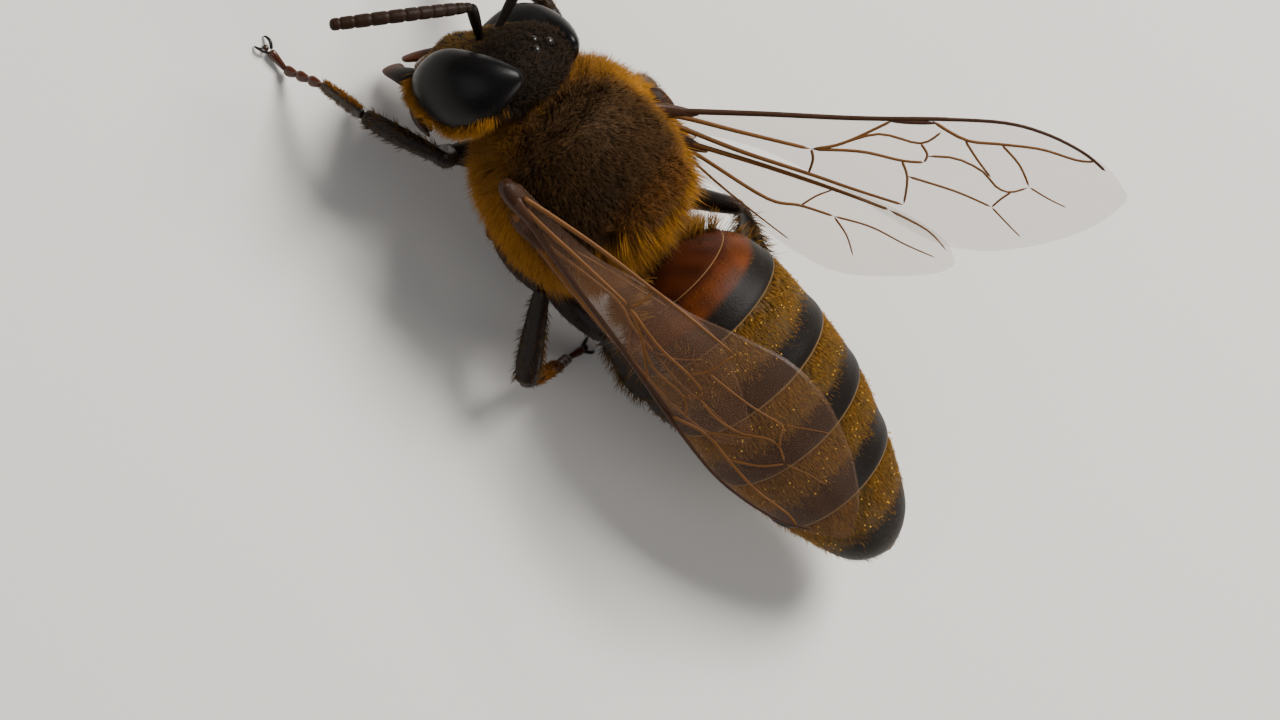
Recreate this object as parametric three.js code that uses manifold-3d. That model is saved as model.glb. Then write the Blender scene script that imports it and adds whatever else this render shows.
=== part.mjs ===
// A worker honey bee, life size, standing on six feet.
// Units are millimetres. The bee faces -Y, its left side is +X and +Z is up. The floor is z = 0.
// Every solid reaches out to the tips of the coat that grows on it.

import * as THREE from 'three';
import { mergeVertices } from 'three/addons/utils/BufferGeometryUtils.js';
import Module from 'manifold-3d';

const wasm = await Module();
wasm.setup();

// ---------------------------------------------------------------- driving sizes
const BODY_HEIGHT = 3.3; // floor to the level of the wing roots, less a little
const GAP = 0.03; // between pieces that meet
const CRUMB = 0.012; // edges shorter than this are merged after a cut
const MEMBRANE = 0.5; // thickness of a wing
const FOOT_SINK = 0.06; // how much of each foot the floor plane trims to a flat

const THORAX = { front: -1.95, rear: 2.25, level: -0.48, pronotumEnd: -1.2, propodeumStart: 1.25 };
const HEAD = { low: -1.75, high: 1.44, x: 0.06, y: -2.64, z: -0.32, pitch: -0.1, roll: -0.36, yaw: -0.36 };
// Elbow, middle and tip of each antenna, in the head's own axes.
const ANTENNA = {
  1: [[1.04, -1.62, 0.7], [2.19, -1.96, 0.12], [3.37, -2.31, -0.95]],
  [-1]: [[-0.86, -1.68, 0.82], [-1.8, -2.4, 0.5], [-2.75, -3.05, -0.45]],
};
const EYE = {
  halfDepth: 0.82,
  halfWidth: 0.5,
  path: [[0.98, -0.06, 1.32], [1.34, -0.1, 0.35], [1.28, -0.16, -0.4], [1.0, -0.22, -1.25]],
};
const MANDIBLE = [[0.66, -0.25, -1.42], [0.52, -0.42, -1.9], [0.22, -0.52, -2.28]];
const TONGUE_PATH = [[0, 0.1, -1.6], [0, 0.26, -2.0], [0, 0.62, -2.12], [0, 1.0, -2.0]];
const FORE_WING = { span: 9.4, chord: 2.98 };
const HIND_WING = { span: 6.3, chord: 1.82 };

// ---------------------------------------------------------------- materials
const finish = (color, roughness) => new THREE.MeshStandardMaterial({ color, roughness, metalness: 0 });
const BLACK_SHELL = finish(0x1a120c, 0.4);
const AMBER_SHELL = finish(0x8a4312, 0.4);
const BANDED_SHELL = finish(0x54401f, 0.5);
const COAT = finish(0x7d5a2c, 0.9);
const EYE_LENS = finish(0x0d0b0b, 0.25);
const LEG_SHELL = finish(0x241912, 0.45);
const WING_FILM = finish(0xb9a184, 0.3);
const TONGUE = finish(0x6b3414, 0.5);

// ---------------------------------------------------------------- shape helpers
const vec = (x, y, z) => new THREE.Vector3(x, y, z);

/** A smooth function of t from 0 to 1 through evenly spaced values. */
function smooth(values) {
  const last = values.length - 1;
  return (t) => {
    const at = Math.min(Math.max(t, 0), 1) * last;
    const i = Math.min(Math.floor(at), last - 1);
    const f = at - i;
    const [a, b, c, d] = [i - 1, i, i + 1, i + 2].map((k) => values[Math.min(Math.max(k, 0), last)]);
    const [square, cube] = [2 * a - 5 * b + 4 * c - d, 3 * b - a - 3 * c + d];
    return 0.5 * (2 * b + (c - a) * f + square * f * f + cube * f ** 3);
  };
}

/** Stations from 0 to 1, closer together near both ends so that the ends come out round. */
function stations(count) {
  return Array.from({ length: count + 1 }, (_, i) => (1 - Math.cos((Math.PI * i) / count)) / 2);
}

/** A closed geometry from rings of equal length, each end closed by a fan. */
function skinOver(rings) {
  const sides = rings[0].length;
  const points = rings.flat();
  const faces = [];
  for (let r = 0; r + 1 < rings.length; r++) {
    for (let s = 0; s < sides; s++) {
      const [a, b] = [r * sides + s, r * sides + ((s + 1) % sides)];
      faces.push(a, b, b + sides, a, b + sides, a + sides);
    }
  }
  const middle = (ring) => ring.reduce((sum, p) => sum.add(p), vec(0, 0, 0)).divideScalar(ring.length);
  const [start, end] = [points.length, points.length + 1];
  points.push(middle(rings[0]), middle(rings[rings.length - 1]));
  for (let s = 0; s < sides; s++) {
    const next = (s + 1) % sides;
    const tail = (rings.length - 1) * sides;
    faces.push(start, next, s, end, tail + s, tail + next);
  }
  const geometry = new THREE.BufferGeometry().setFromPoints(points);
  geometry.setIndex(faces);
  return geometry;
}

/**
 * A body along a curve. width, over and under give the half sizes to the side, above and below at t;
 * up is the direction that counts as above.
 */
function loft(curve, { width, over, under = over, up = vec(0, 0, 1), steps = 8, sides = 10, round = true }) {
  const at = round ? stations(steps) : Array.from({ length: steps + 1 }, (_, i) => i / steps);
  const rings = at.map((t) => {
    const centre = curve.getPoint(t);
    const along = curve.getTangent(t);
    const side = vec(0, 0, 0).crossVectors(up, along).normalize();
    const above = vec(0, 0, 0).crossVectors(along, side).normalize();
    return Array.from({ length: sides }, (_, i) => {
      const turn = (2 * Math.PI * i) / sides;
      const lift = Math.sin(turn) * (Math.sin(turn) > 0 ? over(t) : under(t));
      return centre.clone().addScaledVector(side, Math.cos(turn) * width(t)).addScaledVector(above, lift);
    });
  });
  return skinOver(rings);
}

const line = (a, b) => new THREE.LineCurve3(a, b);
const bend = (...points) => new THREE.CatmullRomCurve3(points, false, 'centripetal');
const ovoid = (x, y, z, sides = 16, rings = 10) => new THREE.SphereGeometry(1, sides, rings).scale(x, y, z);

// ---------------------------------------------------------------- solids
/** The geometry as a manifold solid. */
function solid(geometry) {
  const bare = geometry.index ? geometry.toNonIndexed() : geometry.clone();
  bare.deleteAttribute('normal');
  bare.deleteAttribute('uv');
  const merged = mergeVertices(bare, 1e-4);
  const made = new wasm.Manifold(
    new wasm.Mesh({
      numProp: 3,
      vertProperties: merged.attributes.position.array,
      triVerts: new Uint32Array(merged.index.array),
    }),
  );
  return made;
}

/** The solid as a geometry. */
function geometryOf(made) {
  const mesh = made.getMesh();
  const geometry = new THREE.BufferGeometry();
  geometry.setAttribute('position', new THREE.BufferAttribute(new Float32Array(mesh.vertProperties), 3));
  geometry.setIndex(new THREE.BufferAttribute(new Uint32Array(mesh.triVerts), 1));
  return geometry;
}

/** A solid a little larger all over, for cutting its seat out of a neighbour. */
function swollen(made, by = GAP) {
  const geometry = geometryOf(made);
  geometry.computeVertexNormals();
  const { position, normal } = geometry.attributes;
  for (let i = 0; i < position.count; i++) {
    position.setXYZ(
      i,
      position.getX(i) + by * normal.getX(i),
      position.getY(i) + by * normal.getY(i),
      position.getZ(i) + by * normal.getZ(i),
    );
  }
  return solid(geometry);
}

/** The biggest body of a solid, without the crumbs and the needless edges that a cut leaves. */
function mainBody(made) {
  const biggest = (whole) => whole.decompose().sort((a, b) => b.volume() - a.volume())[0];
  return biggest(biggest(made).simplify(CRUMB));
}

/** made, cut clear of each neighbour. */
function clearOf(made, ...neighbours) {
  return mainBody(neighbours.reduce((rest, n) => rest.subtract(swollen(n)), made));
}

/** The part of a solid on the side of a plane that its normal points to, at least `from` along it. */
const beyond = (made, normal, from) => made.trimByPlane(normal.toArray(), from);

const bee = new THREE.Group();

function place(name, made, material) {
  const mesh = new THREE.Mesh(geometryOf(made), material);
  mesh.name = name;
  bee.add(mesh);
  return made;
}

// ---------------------------------------------------------------- thorax
const lifted = (y, z) => vec(0, y, BODY_HEIGHT + z);

function makeThorax() {
  const whole = solid(
    loft(line(lifted(THORAX.front, THORAX.level), lifted(THORAX.rear, THORAX.level)), {
      width: smooth([0.6, 1.62, 2.18, 2.4, 2.48, 2.36, 1.95, 1.25, 0.5]),
      over: smooth([0.6, 1.35, 1.8, 1.97, 2.0, 1.85, 1.5, 0.9, 0.4]),
      under: smooth([0.6, 1.2, 1.65, 1.82, 1.85, 1.75, 1.45, 1.0, 0.4]),
      steps: 12,
      sides: 18,
    }),
  );
  const scutellum = solid(ovoid(1.12, 0.5, 0.46, 14, 8).rotateX(0.5).translate(0, 1.0, BODY_HEIGHT + 1.14));
  const rest = clearOf(whole, scutellum);
  const back = vec(0, 1, 0);
  const ahead = vec(0, -1, 0);
  const pronotum = mainBody(beyond(rest, ahead, -THORAX.pronotumEnd + GAP / 2));
  const behind = beyond(rest, back, THORAX.pronotumEnd + GAP / 2);
  const mesothorax = mainBody(beyond(behind, ahead, -THORAX.propodeumStart + GAP / 2));
  const propodeum = mainBody(beyond(behind, back, THORAX.propodeumStart + GAP / 2));
  return { whole, pronotum, mesothorax, scutellum, propodeum };
}

// ---------------------------------------------------------------- head
const headTurn = new THREE.Matrix4()
  .makeRotationFromEuler(new THREE.Euler(HEAD.pitch, HEAD.roll, HEAD.yaw, 'ZYX'))
  .setPosition(HEAD.x, HEAD.y, BODY_HEIGHT + HEAD.z);
const inHead = (x, y, z) => vec(x, y, z).applyMatrix4(headTurn);
const round = (...radii) => ({ width: smooth(radii), over: smooth(radii) });

function makeHead() {
  const capsule = loft(line(inHead(0, -0.12, HEAD.low), inHead(0, 0, HEAD.high)), {
    width: smooth([0.5, 0.84, 1.12, 1.32, 1.46, 1.48, 1.34, 1.0, 0.4]),
    over: smooth([0.3, 0.5, 0.62, 0.72, 0.78, 0.8, 0.76, 0.6, 0.25]),
    under: smooth([0.3, 0.52, 0.74, 0.86, 0.9, 0.86, 0.76, 0.56, 0.22]),
    up: vec(0, 1, 0).transformDirection(headTurn),
    steps: 10,
    sides: 16,
  });
  const eyes = [1, -1].map((side) =>
    solid(
      loft(bend(...EYE.path.map(([x, y, z]) => inHead(side * x, y, z))), {
        width: smooth([0.28, 0.44, EYE.halfWidth, EYE.halfWidth, 0.42, 0.2]),
        over: smooth([0.36, 0.64, EYE.halfDepth, EYE.halfDepth, 0.6, 0.28]),
        up: vec(0, 1, 0).transformDirection(headTurn),
        steps: 10,
        sides: 12,
      }),
    ),
  );
  const head = clearOf(solid(capsule), ...eyes);
  return { head, eyes };
}

function makeAntenna(side, head) {
  const [elbow, middle, tip] = ANTENNA[side].map(([x, y, z]) => inHead(x, y, z));
  const base = inHead(side * 0.28, -0.78, 0.08);
  const scape = clearOf(
    solid(loft(line(base, elbow), { ...round(0.2, 0.25, 0.25, 0.27, 0.2), steps: 5, sides: 8 })),
    head,
  );
  const flagellum = clearOf(
    solid(loft(bend(elbow, middle, tip), { ...round(0.17, 0.25, 0.25, 0.26, 0.26, 0.19), steps: 8, sides: 8 })),
    scape,
    head,
  );
  return { scape, flagellum };
}

function makeMouth(head) {
  const mandibles = [1, -1].map((side) =>
    clearOf(
      solid(
        loft(bend(...MANDIBLE.map(([x, y, z]) => inHead(side * x, y, z))), {
          ...round(0.24, 0.3, 0.27, 0.22),
          steps: 5,
          sides: 8,
        }),
      ),
      head,
    ),
  );
  const tongue = clearOf(
    solid(
      loft(bend(...TONGUE_PATH.map(([x, y, z]) => inHead(x, y, z))), {
        ...round(0.27, 0.3, 0.27, 0.25, 0.2),
        up: vec(0, 1, 1),
        steps: 7,
        sides: 8,
      }),
    ),
    head,
    ...mandibles,
  );
  return { mandibles, tongue };
}

// ---------------------------------------------------------------- abdomen
const ABDOMEN = {
  spine: new THREE.CubicBezierCurve3(
    lifted(2.27, -0.4),
    lifted(5.1, -0.35),
    lifted(8.2, -0.95),
    vec(-0.25, 11.0, BODY_HEIGHT - 1.45),
  ),
  cuts: [0, 0.085, 0.205, 0.38, 0.54, 0.715, 1],
  width: smooth([0.35, 1.6, 1.9, 1.98, 2.02, 2.0, 1.87, 1.66, 1.38, 1.0, 0.2]),
  over: smooth([0.35, 1.42, 1.72, 1.8, 1.8, 1.76, 1.62, 1.42, 1.16, 0.82, 0.18]),
  under: smooth([0.35, 1.3, 1.58, 1.66, 1.66, 1.6, 1.48, 1.28, 1.04, 0.74, 0.16]),
  rim: 0.06, // how far each plate's rear rim stands over the next
};

function makeAbdomen() {
  const { spine, cuts, width, over, under, rim } = ABDOMEN;
  return cuts.slice(1).map((end, i) => {
    const start = cuts[i];
    const first = i === 0;
    const last = i === cuts.length - 2;
    const steps = first ? 5 : last ? 6 : 4;
    const grow = (t) => (last ? -rim * (1 - t) : -rim * (1 - t) * (first ? 0 : 1));
    const share = (t) => start + t * (end - start);
    const piece = {
      getPoint: (t) => spine.getPoint(share(t)),
      getTangent: (t) => spine.getTangent(share(t)),
    };
    return solid(
      loft(piece, {
        width: (t) => width(share(t)) + grow(t),
        over: (t) => over(share(t)) + grow(t),
        under: (t) => under(share(t)) + grow(t),
        steps,
        sides: 20,
        round: false,
      }),
    );
  });
}

// ---------------------------------------------------------------- wings
/** A wing blade: root is where it joins, span and back are its own axes, and the edges are in those axes. */
function wingBlade({ root, span, back, leading, trailing, camber, rows = 10, columns = 3 }) {
  const edge = (points) => new THREE.SplineCurve(points.map(([u, w]) => new THREE.Vector2(u, w)));
  const [front, rear] = [edge(leading), edge(trailing)];
  const along = span.clone().normalize();
  const normal = vec(0, 0, 0).crossVectors(along, back).normalize();
  if (normal.z < 0) normal.negate();
  const across = back.clone().addScaledVector(along, -back.dot(along)).normalize();
  const ring = (t) => {
    const [a, b] = [front.getPoint(t), rear.getPoint(t)];
    const at = (share, lift) =>
      root
        .clone()
        .addScaledVector(along, a.x + (b.x - a.x) * share)
        .addScaledVector(across, a.y + (b.y - a.y) * share)
        .addScaledVector(normal, lift + camber * Math.sin(Math.PI * share) * Math.sin(Math.PI * t));
    const shares = Array.from({ length: columns + 1 }, (_, i) => i / columns);
    return [...shares.map((s) => at(s, MEMBRANE / 2)), ...shares.reverse().map((s) => at(s, -MEMBRANE / 2))];
  };
  const rings = Array.from({ length: rows + 1 }, (_, i) => ring(i / rows));
  const made = solid(skinOver(rings));
  return made.volume() < 0 ? solid(skinOver(rings.map((r) => r.reverse()))) : made;
}

// Edges as points along the span and across the chord.
const FORE_EDGES = {
  leading: [
    [-0.25, 0.16], [1.9, 0.14], [3.7, 0.15], [5.3, 0.09], [6.7, 0.13],
    [7.6, 0.34], [8.4, 0.71], [8.95, 1.05], [FORE_WING.span, 1.62],
  ],
  trailing: [
    [-0.25, 0.5], [1.8, 0.88], [3.6, 1.68], [4.8, 2.38], [5.7, 2.84],
    [6.6, FORE_WING.chord], [7.4, 2.88], [8.2, 2.64], [8.9, 2.27], [FORE_WING.span, 1.78],
  ],
};
const HIND_EDGES = {
  leading: [[-0.25, 0.08], [1.6, 0.05], [3.4, 0.06], [4.9, 0.17], [5.9, 0.45], [HIND_WING.span, 0.84]],
  trailing: [
    [-0.25, 0.42], [1.2, 0.92], [2.1, 1.3], [3.2, 1.68],
    [4.2, HIND_WING.chord], [5.3, 1.52], [6.05, 1.18], [HIND_WING.span, 0.92],
  ],
};

const WINGS = {
  right_fore: {
    root: vec(-1.9, 0.15, 0.45),
    span: vec(-0.585, 0.675, 0.445),
    back: vec(0.487, 0.73, -0.475),
    edges: FORE_EDGES,
  },
  right_hind: {
    root: vec(-1.85, 0.85, 0.25),
    span: vec(-0.42, 0.862, 0.282),
    back: vec(0.66, 0.5, -0.58),
    edges: HIND_EDGES,
  },
  left_fore: {
    root: vec(2.08, -0.87, 0.17),
    span: vec(0.096, 0.995, 0.019),
    back: vec(-0.664, 0.069, 0.744),
    edges: FORE_EDGES,
  },
  left_hind: {
    root: vec(2.06, -0.18, -0.29),
    span: vec(0.03, 0.999, 0.013),
    back: vec(-0.667, 0.01, 0.745),
    edges: HIND_EDGES,
  },
};

// The left scale lies forward with its folded wing.
const TEGULAE = { 1: [1.94, -1.2], [-1]: [-2.0, 0.04], level: 0.52 };

function makeWings(thorax, tegulae, abdomen) {
  const made = {};
  for (const [name, wing] of Object.entries(WINGS)) {
    const blade = wingBlade({
      root: wing.root.clone().setZ(wing.root.z + BODY_HEIGHT),
      span: wing.span,
      back: wing.back,
      ...wing.edges,
      camber: 0.12,
    });
    made[name] = clearOf(blade, thorax.whole, thorax.scutellum, ...tegulae, ...abdomen, ...Object.values(made));
  }
  return made;
}

/** The scale that covers a wing's root. */
function makeTegula(side, thorax) {
  const cap = ovoid(0.36, 0.46, 0.32, 10, 8).translate(...TEGULAE[side], BODY_HEIGHT + TEGULAE.level);
  return clearOf(solid(cap), thorax.whole);
}

// ---------------------------------------------------------------- legs
// Joints of each leg on its own side, outwards positive: coxa root, coxa end, knee, ankle, heel, foot and claw.
const LEGS = {
  front_left: [
    [0.5, -0.95, 1.75], [1.05, -1.6, 1.1], [1.95, -2.2, 2.5], [2.28, -3.75, 1.8],
    [2.1, -4.5, 0.95], [2.1, -5.0, 0.32], [2.08, -5.5, 0.22],
  ],
  middle_left: [
    [0.55, 0.1, 1.7], [1.3, 0.3, 0.86], [2.0, 1.33, 2.15], [3.28, 2.63, 1.4],
    [2.15, 3.2, 0.7], [1.62, 3.45, 0.28], [1.2, 3.6, 0.22],
  ],
  hind_left: [
    [0.6, 1.0, 1.7], [1.25, 1.55, 1.05], [1.6, 3.05, 2.05], [0.95, 5.25, 0.8],
    [0.5, 6.85, 0.48], [0.4, 7.75, 0.26], [0.36, 8.35, 0.22],
  ],
  front_right: [
    [0.5, -0.95, 1.75], [1.05, -1.6, 1.1], [2.0, -2.1, 2.45], [2.4, -3.5, 1.7],
    [2.45, -4.2, 0.85], [2.55, -4.75, 0.3], [2.65, -5.25, 0.22],
  ],
  middle_right: [
    [0.55, 0.1, 1.7], [1.3, 0.3, 0.86], [2.6, 0.2, 2.0], [3.25, 0.75, 1.2],
    [3.6, 1.35, 0.55], [3.7, 1.85, 0.26], [3.72, 2.35, 0.22],
  ],
  hind_right: [
    [0.6, 1.0, 1.7], [1.25, 1.6, 1.4], [2.17, 3.26, 2.95], [2.62, 5.1, 0.86],
    [2.75, 6.6, 0.5], [2.85, 7.5, 0.26], [2.9, 8.1, 0.22],
  ],
};

// Half sizes along each part of a leg, across its flat face and through it.
const LIMB = {
  front: { femur: [0.22, 0.34, 0.36, 0.31, 0.25], tibia: [0.25, 0.3, 0.31, 0.29, 0.26], flat: 1, foot: 0.27 },
  middle: { femur: [0.22, 0.34, 0.38, 0.32, 0.26], tibia: [0.25, 0.3, 0.34, 0.34, 0.29], flat: 1, foot: 0.28 },
  hind: { femur: [0.24, 0.36, 0.42, 0.36, 0.28], tibia: [0.26, 0.36, 0.48, 0.56, 0.5], flat: 0.55, foot: 0.5 },
};

function makeLeg(name, body, belly) {
  const side = name.endsWith('left') ? 1 : -1;
  const pair = name.split('_')[0];
  const limb = LIMB[pair];
  const [root, hip, knee, ankle, heel, foot, claw] = LEGS[name].map(([x, y, z]) => vec(side * x, y, z));
  const outward = vec(side, 0, 0.35);
  const limbPart = (curve, across, flat, steps) => {
    const thick = across.map((w) => Math.max(w * flat, 0.25 * Math.min(1, w / 0.25)));
    return solid(loft(curve, { width: smooth(across), over: smooth(thick), up: outward, steps, sides: 7 }));
  };
  const coxa = clearOf(limbPart(line(root, hip), [0.3, 0.45, 0.42, 0.3, 0.2], 1, 4), body);
  const femur = clearOf(limbPart(line(hip, knee), limb.femur, 1, 5), coxa, body);
  const near = pair === 'hind' ? [femur, ...belly] : [femur];
  const tibia = clearOf(limbPart(line(knee, ankle), limb.tibia, limb.flat, 6), ...near);
  const w = limb.foot;
  const sole = bend(ankle, heel, foot, claw);
  const beads = smooth([0.24, w, w, w * 0.95, 0.26, 0.27, 0.25, 0.27, 0.2]);
  const thin = smooth([0.24, 0.26, 0.27, 0.26, 0.26, 0.27, 0.25, 0.27, 0.2]);
  const tarsus = clearOf(
    beyond(solid(loft(sole, { width: beads, over: thin, up: outward, steps: 9, sides: 7 })), vec(0, 0, 1), FOOT_SINK),
    tibia,
  );
  return { coxa, femur, tibia, tarsus };
}

// ---------------------------------------------------------------- assembly
const thorax = makeThorax();
const { head, eyes } = makeHead();
const mouth = makeMouth(head);
const abdomen = makeAbdomen();
abdomen[0] = clearOf(abdomen[0], thorax.whole, thorax.scutellum);
const tegulae = [1, -1].map((side) => makeTegula(side, thorax));
const wings = makeWings(thorax, tegulae, abdomen);

place('head', head, BLACK_SHELL);
place('eye_left', eyes[0], EYE_LENS);
place('eye_right', eyes[1], EYE_LENS);
place('mandible_left', mouth.mandibles[0], AMBER_SHELL);
place('mandible_right', mouth.mandibles[1], AMBER_SHELL);
place('tongue', mouth.tongue, TONGUE);
for (const [label, side] of [['left', 1], ['right', -1]]) {
  const { scape, flagellum } = makeAntenna(side, head);
  place(`antenna_${label}_scape`, scape, BLACK_SHELL);
  place(`antenna_${label}_flagellum`, flagellum, BLACK_SHELL);
}
place('thorax_pronotum', clearOf(thorax.pronotum, head, ...eyes), COAT);
place('thorax_middle', thorax.mesothorax, COAT);
place('thorax_scutellum', thorax.scutellum, COAT);
place('thorax_propodeum', thorax.propodeum, COAT);
abdomen.forEach((plate, i) => place(`abdomen_segment_${i + 1}`, plate, i < 2 ? AMBER_SHELL : BANDED_SHELL));
for (const [name, wing] of Object.entries(wings)) place(`wing_${name}`, wing, WING_FILM);
place('tegula_left', tegulae[0], AMBER_SHELL);
place('tegula_right', tegulae[1], AMBER_SHELL);
for (const name of Object.keys(LEGS)) {
  const leg = makeLeg(name, thorax.whole, abdomen);
  for (const [part, made] of Object.entries(leg)) place(`leg_${name}_${part}`, made, LEG_SHELL);
}

// The origin is under the middle of the bee's box, at floor level.
const box = new THREE.Box3().setFromObject(bee);
const middle = box.getCenter(vec(0, 0, 0));
bee.position.set(-middle.x, -middle.y, -box.min.z);

export default bee;
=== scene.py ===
"""A worker honey bee, life size, as a museum model.

The frame's solids give its outline out to the tips of the coat. Here its shell, skin, coat, eyes, wings
and legs are made inside them, in millimetres in the bee's own axes: it faces -Y, its left is +X, +Z is up.
"""

import logging
import math
from collections.abc import Callable, Sequence
from dataclasses import dataclass, replace
from enum import Enum
from functools import cache, partial

import bmesh
import bpy
import numpy as np
from mathutils import Matrix, Vector

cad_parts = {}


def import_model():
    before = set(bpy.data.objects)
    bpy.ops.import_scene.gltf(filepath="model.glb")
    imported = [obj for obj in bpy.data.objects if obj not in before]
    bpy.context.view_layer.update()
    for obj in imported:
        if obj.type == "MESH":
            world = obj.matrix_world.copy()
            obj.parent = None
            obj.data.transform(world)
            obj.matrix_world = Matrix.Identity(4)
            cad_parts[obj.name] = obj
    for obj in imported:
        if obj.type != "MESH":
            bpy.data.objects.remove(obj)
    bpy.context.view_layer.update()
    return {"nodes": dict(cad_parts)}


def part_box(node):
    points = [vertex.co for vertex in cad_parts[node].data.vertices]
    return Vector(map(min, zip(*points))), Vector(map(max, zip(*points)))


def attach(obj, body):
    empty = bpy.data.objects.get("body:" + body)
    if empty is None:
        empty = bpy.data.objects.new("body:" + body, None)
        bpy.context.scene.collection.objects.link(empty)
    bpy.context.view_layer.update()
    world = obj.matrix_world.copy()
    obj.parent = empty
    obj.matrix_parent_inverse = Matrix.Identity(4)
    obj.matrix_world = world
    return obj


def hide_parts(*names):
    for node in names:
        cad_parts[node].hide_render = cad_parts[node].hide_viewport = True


LOG = logging.getLogger("bee")

MM = 0.001  # metres in a millimetre
BODY_HEIGHT = 3.3  # level of the wings in the bee's axes
SHELF = (0.0, 1.0, BODY_HEIGHT + 1.14)  # middle of the shelf behind the back plate, in the bee's axes
FLOOR = 0.06  # level of the floor in the bee's axes
SEED = 7351  # where every random draw starts from
COAT_MAP = "OFBake"  # name of a coat's map
TINT = "tint"  # name of the colours kept at the vertices
PATCH = 0.003  # width of one tuft on its coat's map
SKIN_SHADE = 0.45  # how bright the thorax's skin is beside its coat
LABELS = {1: "left", -1: "right"}  # the sides' names
RINGS = ((0.0, 1.0), (0.5, 0.75))  # place and relative thickness of each hair's rings
PAINTED_HAIR_LIGHT = (0.72, 1.0, 1.12)  # how bright a hair is at its root, further out and at its tip: painted shade at the root, deep in the coat, and painted light at the tip
ROOT_DEPTH = 0.02  # how deep hairs are rooted, in mm
SEAM = 2e-5  # points of a piece that are nearer than this, in mm, are one
AXIS_STEP = 1e-3  # step along an axis that gives its direction
SKIN_STEP = 2e-3  # step on a surface that gives its slopes

Array = np.ndarray
Material = bpy.types.Material
Tile = tuple[float, float, float, float]  # part of a map: left, bottom, width and height
Colour = tuple[float, float, float]
Point = tuple[float, float, float]
Hue = Callable[[Array, Array, Array], Array]  # colours from u, v and points
Lie = Callable[[Array, Array], Array]  # directions from points and normals
Weight = Callable[[Array, Array, Array, Array], Array]  # densities from u, v, points and normals


class Slot(Enum):
    """Labels of the pieces' material slots."""

    BLACK = "black_shell"
    AMBER = "amber_shell"
    BANDED = "banded_shell"
    COAT = "coat"
    EYE = "eye_lens"
    LEG = "leg_shell"
    FILM = "wing_film"
    TONGUE = "tongue"


# ---- numbers
def unit(v: Array) -> Array:
    """The vectors, each of length one."""
    return v / np.maximum(np.linalg.norm(v, axis=-1, keepdims=True), 1e-12)


def dot(a: Array, b: Array) -> Array:
    """The row by row dot product, as a column."""
    return (a * b).sum(-1, keepdims=True)


def rise(x: Array, low: float, high: float) -> Array:
    """A smooth step from 0 at low to 1 at high."""
    f = np.clip((x - low) / (high - low), 0.0, 1.0)
    return f * f * (3 - 2 * f)


def bell(x: Array, middle: float, width: float) -> Array:
    """A bump of height one at middle."""
    return np.exp(-(((x - middle) / width) ** 2))


def rounded(x: Array, reach: float) -> Array:
    """A quarter circle's rise from 0 at 0 to 1 at reach."""
    return np.sqrt(np.clip(1 - np.clip(1 - x / reach, 0, 1) ** 2, 0, 1))


def mixed(a: Array, b: Array, share: Array) -> Array:
    """Colours a and b mixed by a share for each row."""
    share = np.asarray(share)[..., None]
    return np.asarray(a) * (1 - share) + np.asarray(b) * share


def through(values: Sequence, t: Array) -> Array:
    """A smooth curve through evenly spaced values.

    Args:
        values: The numbers or points that it passes.
        t: Where to read it, from 0 to 1.

    Returns:
        One value for each t.
    """
    known = np.asarray(values, float)
    last = len(known) - 1
    at = np.clip(t, 0, 1) * last
    i = np.minimum(at.astype(int), last - 1)
    f = at - i
    a, b, c, d = (known[np.clip(i + k, 0, last)] for k in (-1, 0, 1, 2))
    f = f.reshape(f.shape + (1,) * (known.ndim - 1))
    return 0.5 * (2 * b + (c - a) * f + (2 * a - 5 * b + 4 * c - d) * f**2 + (3 * b - a - 3 * c + d) * f**3)


def wobble(points: Array, scale: float, seed: int = 0) -> Array:
    """A cheap smooth noise from -1 to 1 at points, with features about scale mm across.

    Args:
        points: Where it is read.
        scale: The size of its features, in mm.
        seed: Which of its patterns.

    Returns:
        A number for each point.
    """
    rng = np.random.default_rng(SEED + seed)
    total = np.zeros(len(points))
    for _ in range(6):
        wave = unit(rng.normal(size=3)) * (2 * math.pi / scale) * rng.uniform(0.7, 1.5)
        total += np.sin(points @ wave + rng.uniform(0, 2 * math.pi))
    return total / 6


# ---- surfaces
class Surface:
    """A closed skin in mm, with u along it from 0 to 1 and v round it from 0 to 1."""

    def point(self, u: Array, v: Array) -> Array:
        """Points on the surface."""
        raise NotImplementedError

    def middle(self, u: Array) -> Array:
        """The points of its axis."""
        raise NotImplementedError

    def heading(self, u: Array) -> Array:
        """The directions along its axis."""
        return unit(self.middle(np.minimum(u + AXIS_STEP, 1)) - self.middle(np.maximum(u - AXIS_STEP, 0)))

    def slopes(self, u: Array, v: Array) -> tuple[Array, Array]:
        """How the surface runs on along it and round it."""
        along = self.point(np.clip(u + SKIN_STEP, 0, 1), v) - self.point(np.clip(u - SKIN_STEP, 0, 1), v)
        return along, self.point(u, v + SKIN_STEP) - self.point(u, v - SKIN_STEP)

    def normal(self, u: Array, v: Array) -> Array:
        """Outward directions on the surface."""
        n = unit(np.cross(*self.slopes(u, v)))
        return n * np.where(dot(n, self.point(u, v) - self.middle(u)) < 0, -1, 1)

    def area(self, u: Array, v: Array) -> Array:
        """The area that each place stands for, up to one factor."""
        return np.linalg.norm(np.cross(*self.slopes(u, v)), axis=1)


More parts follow.
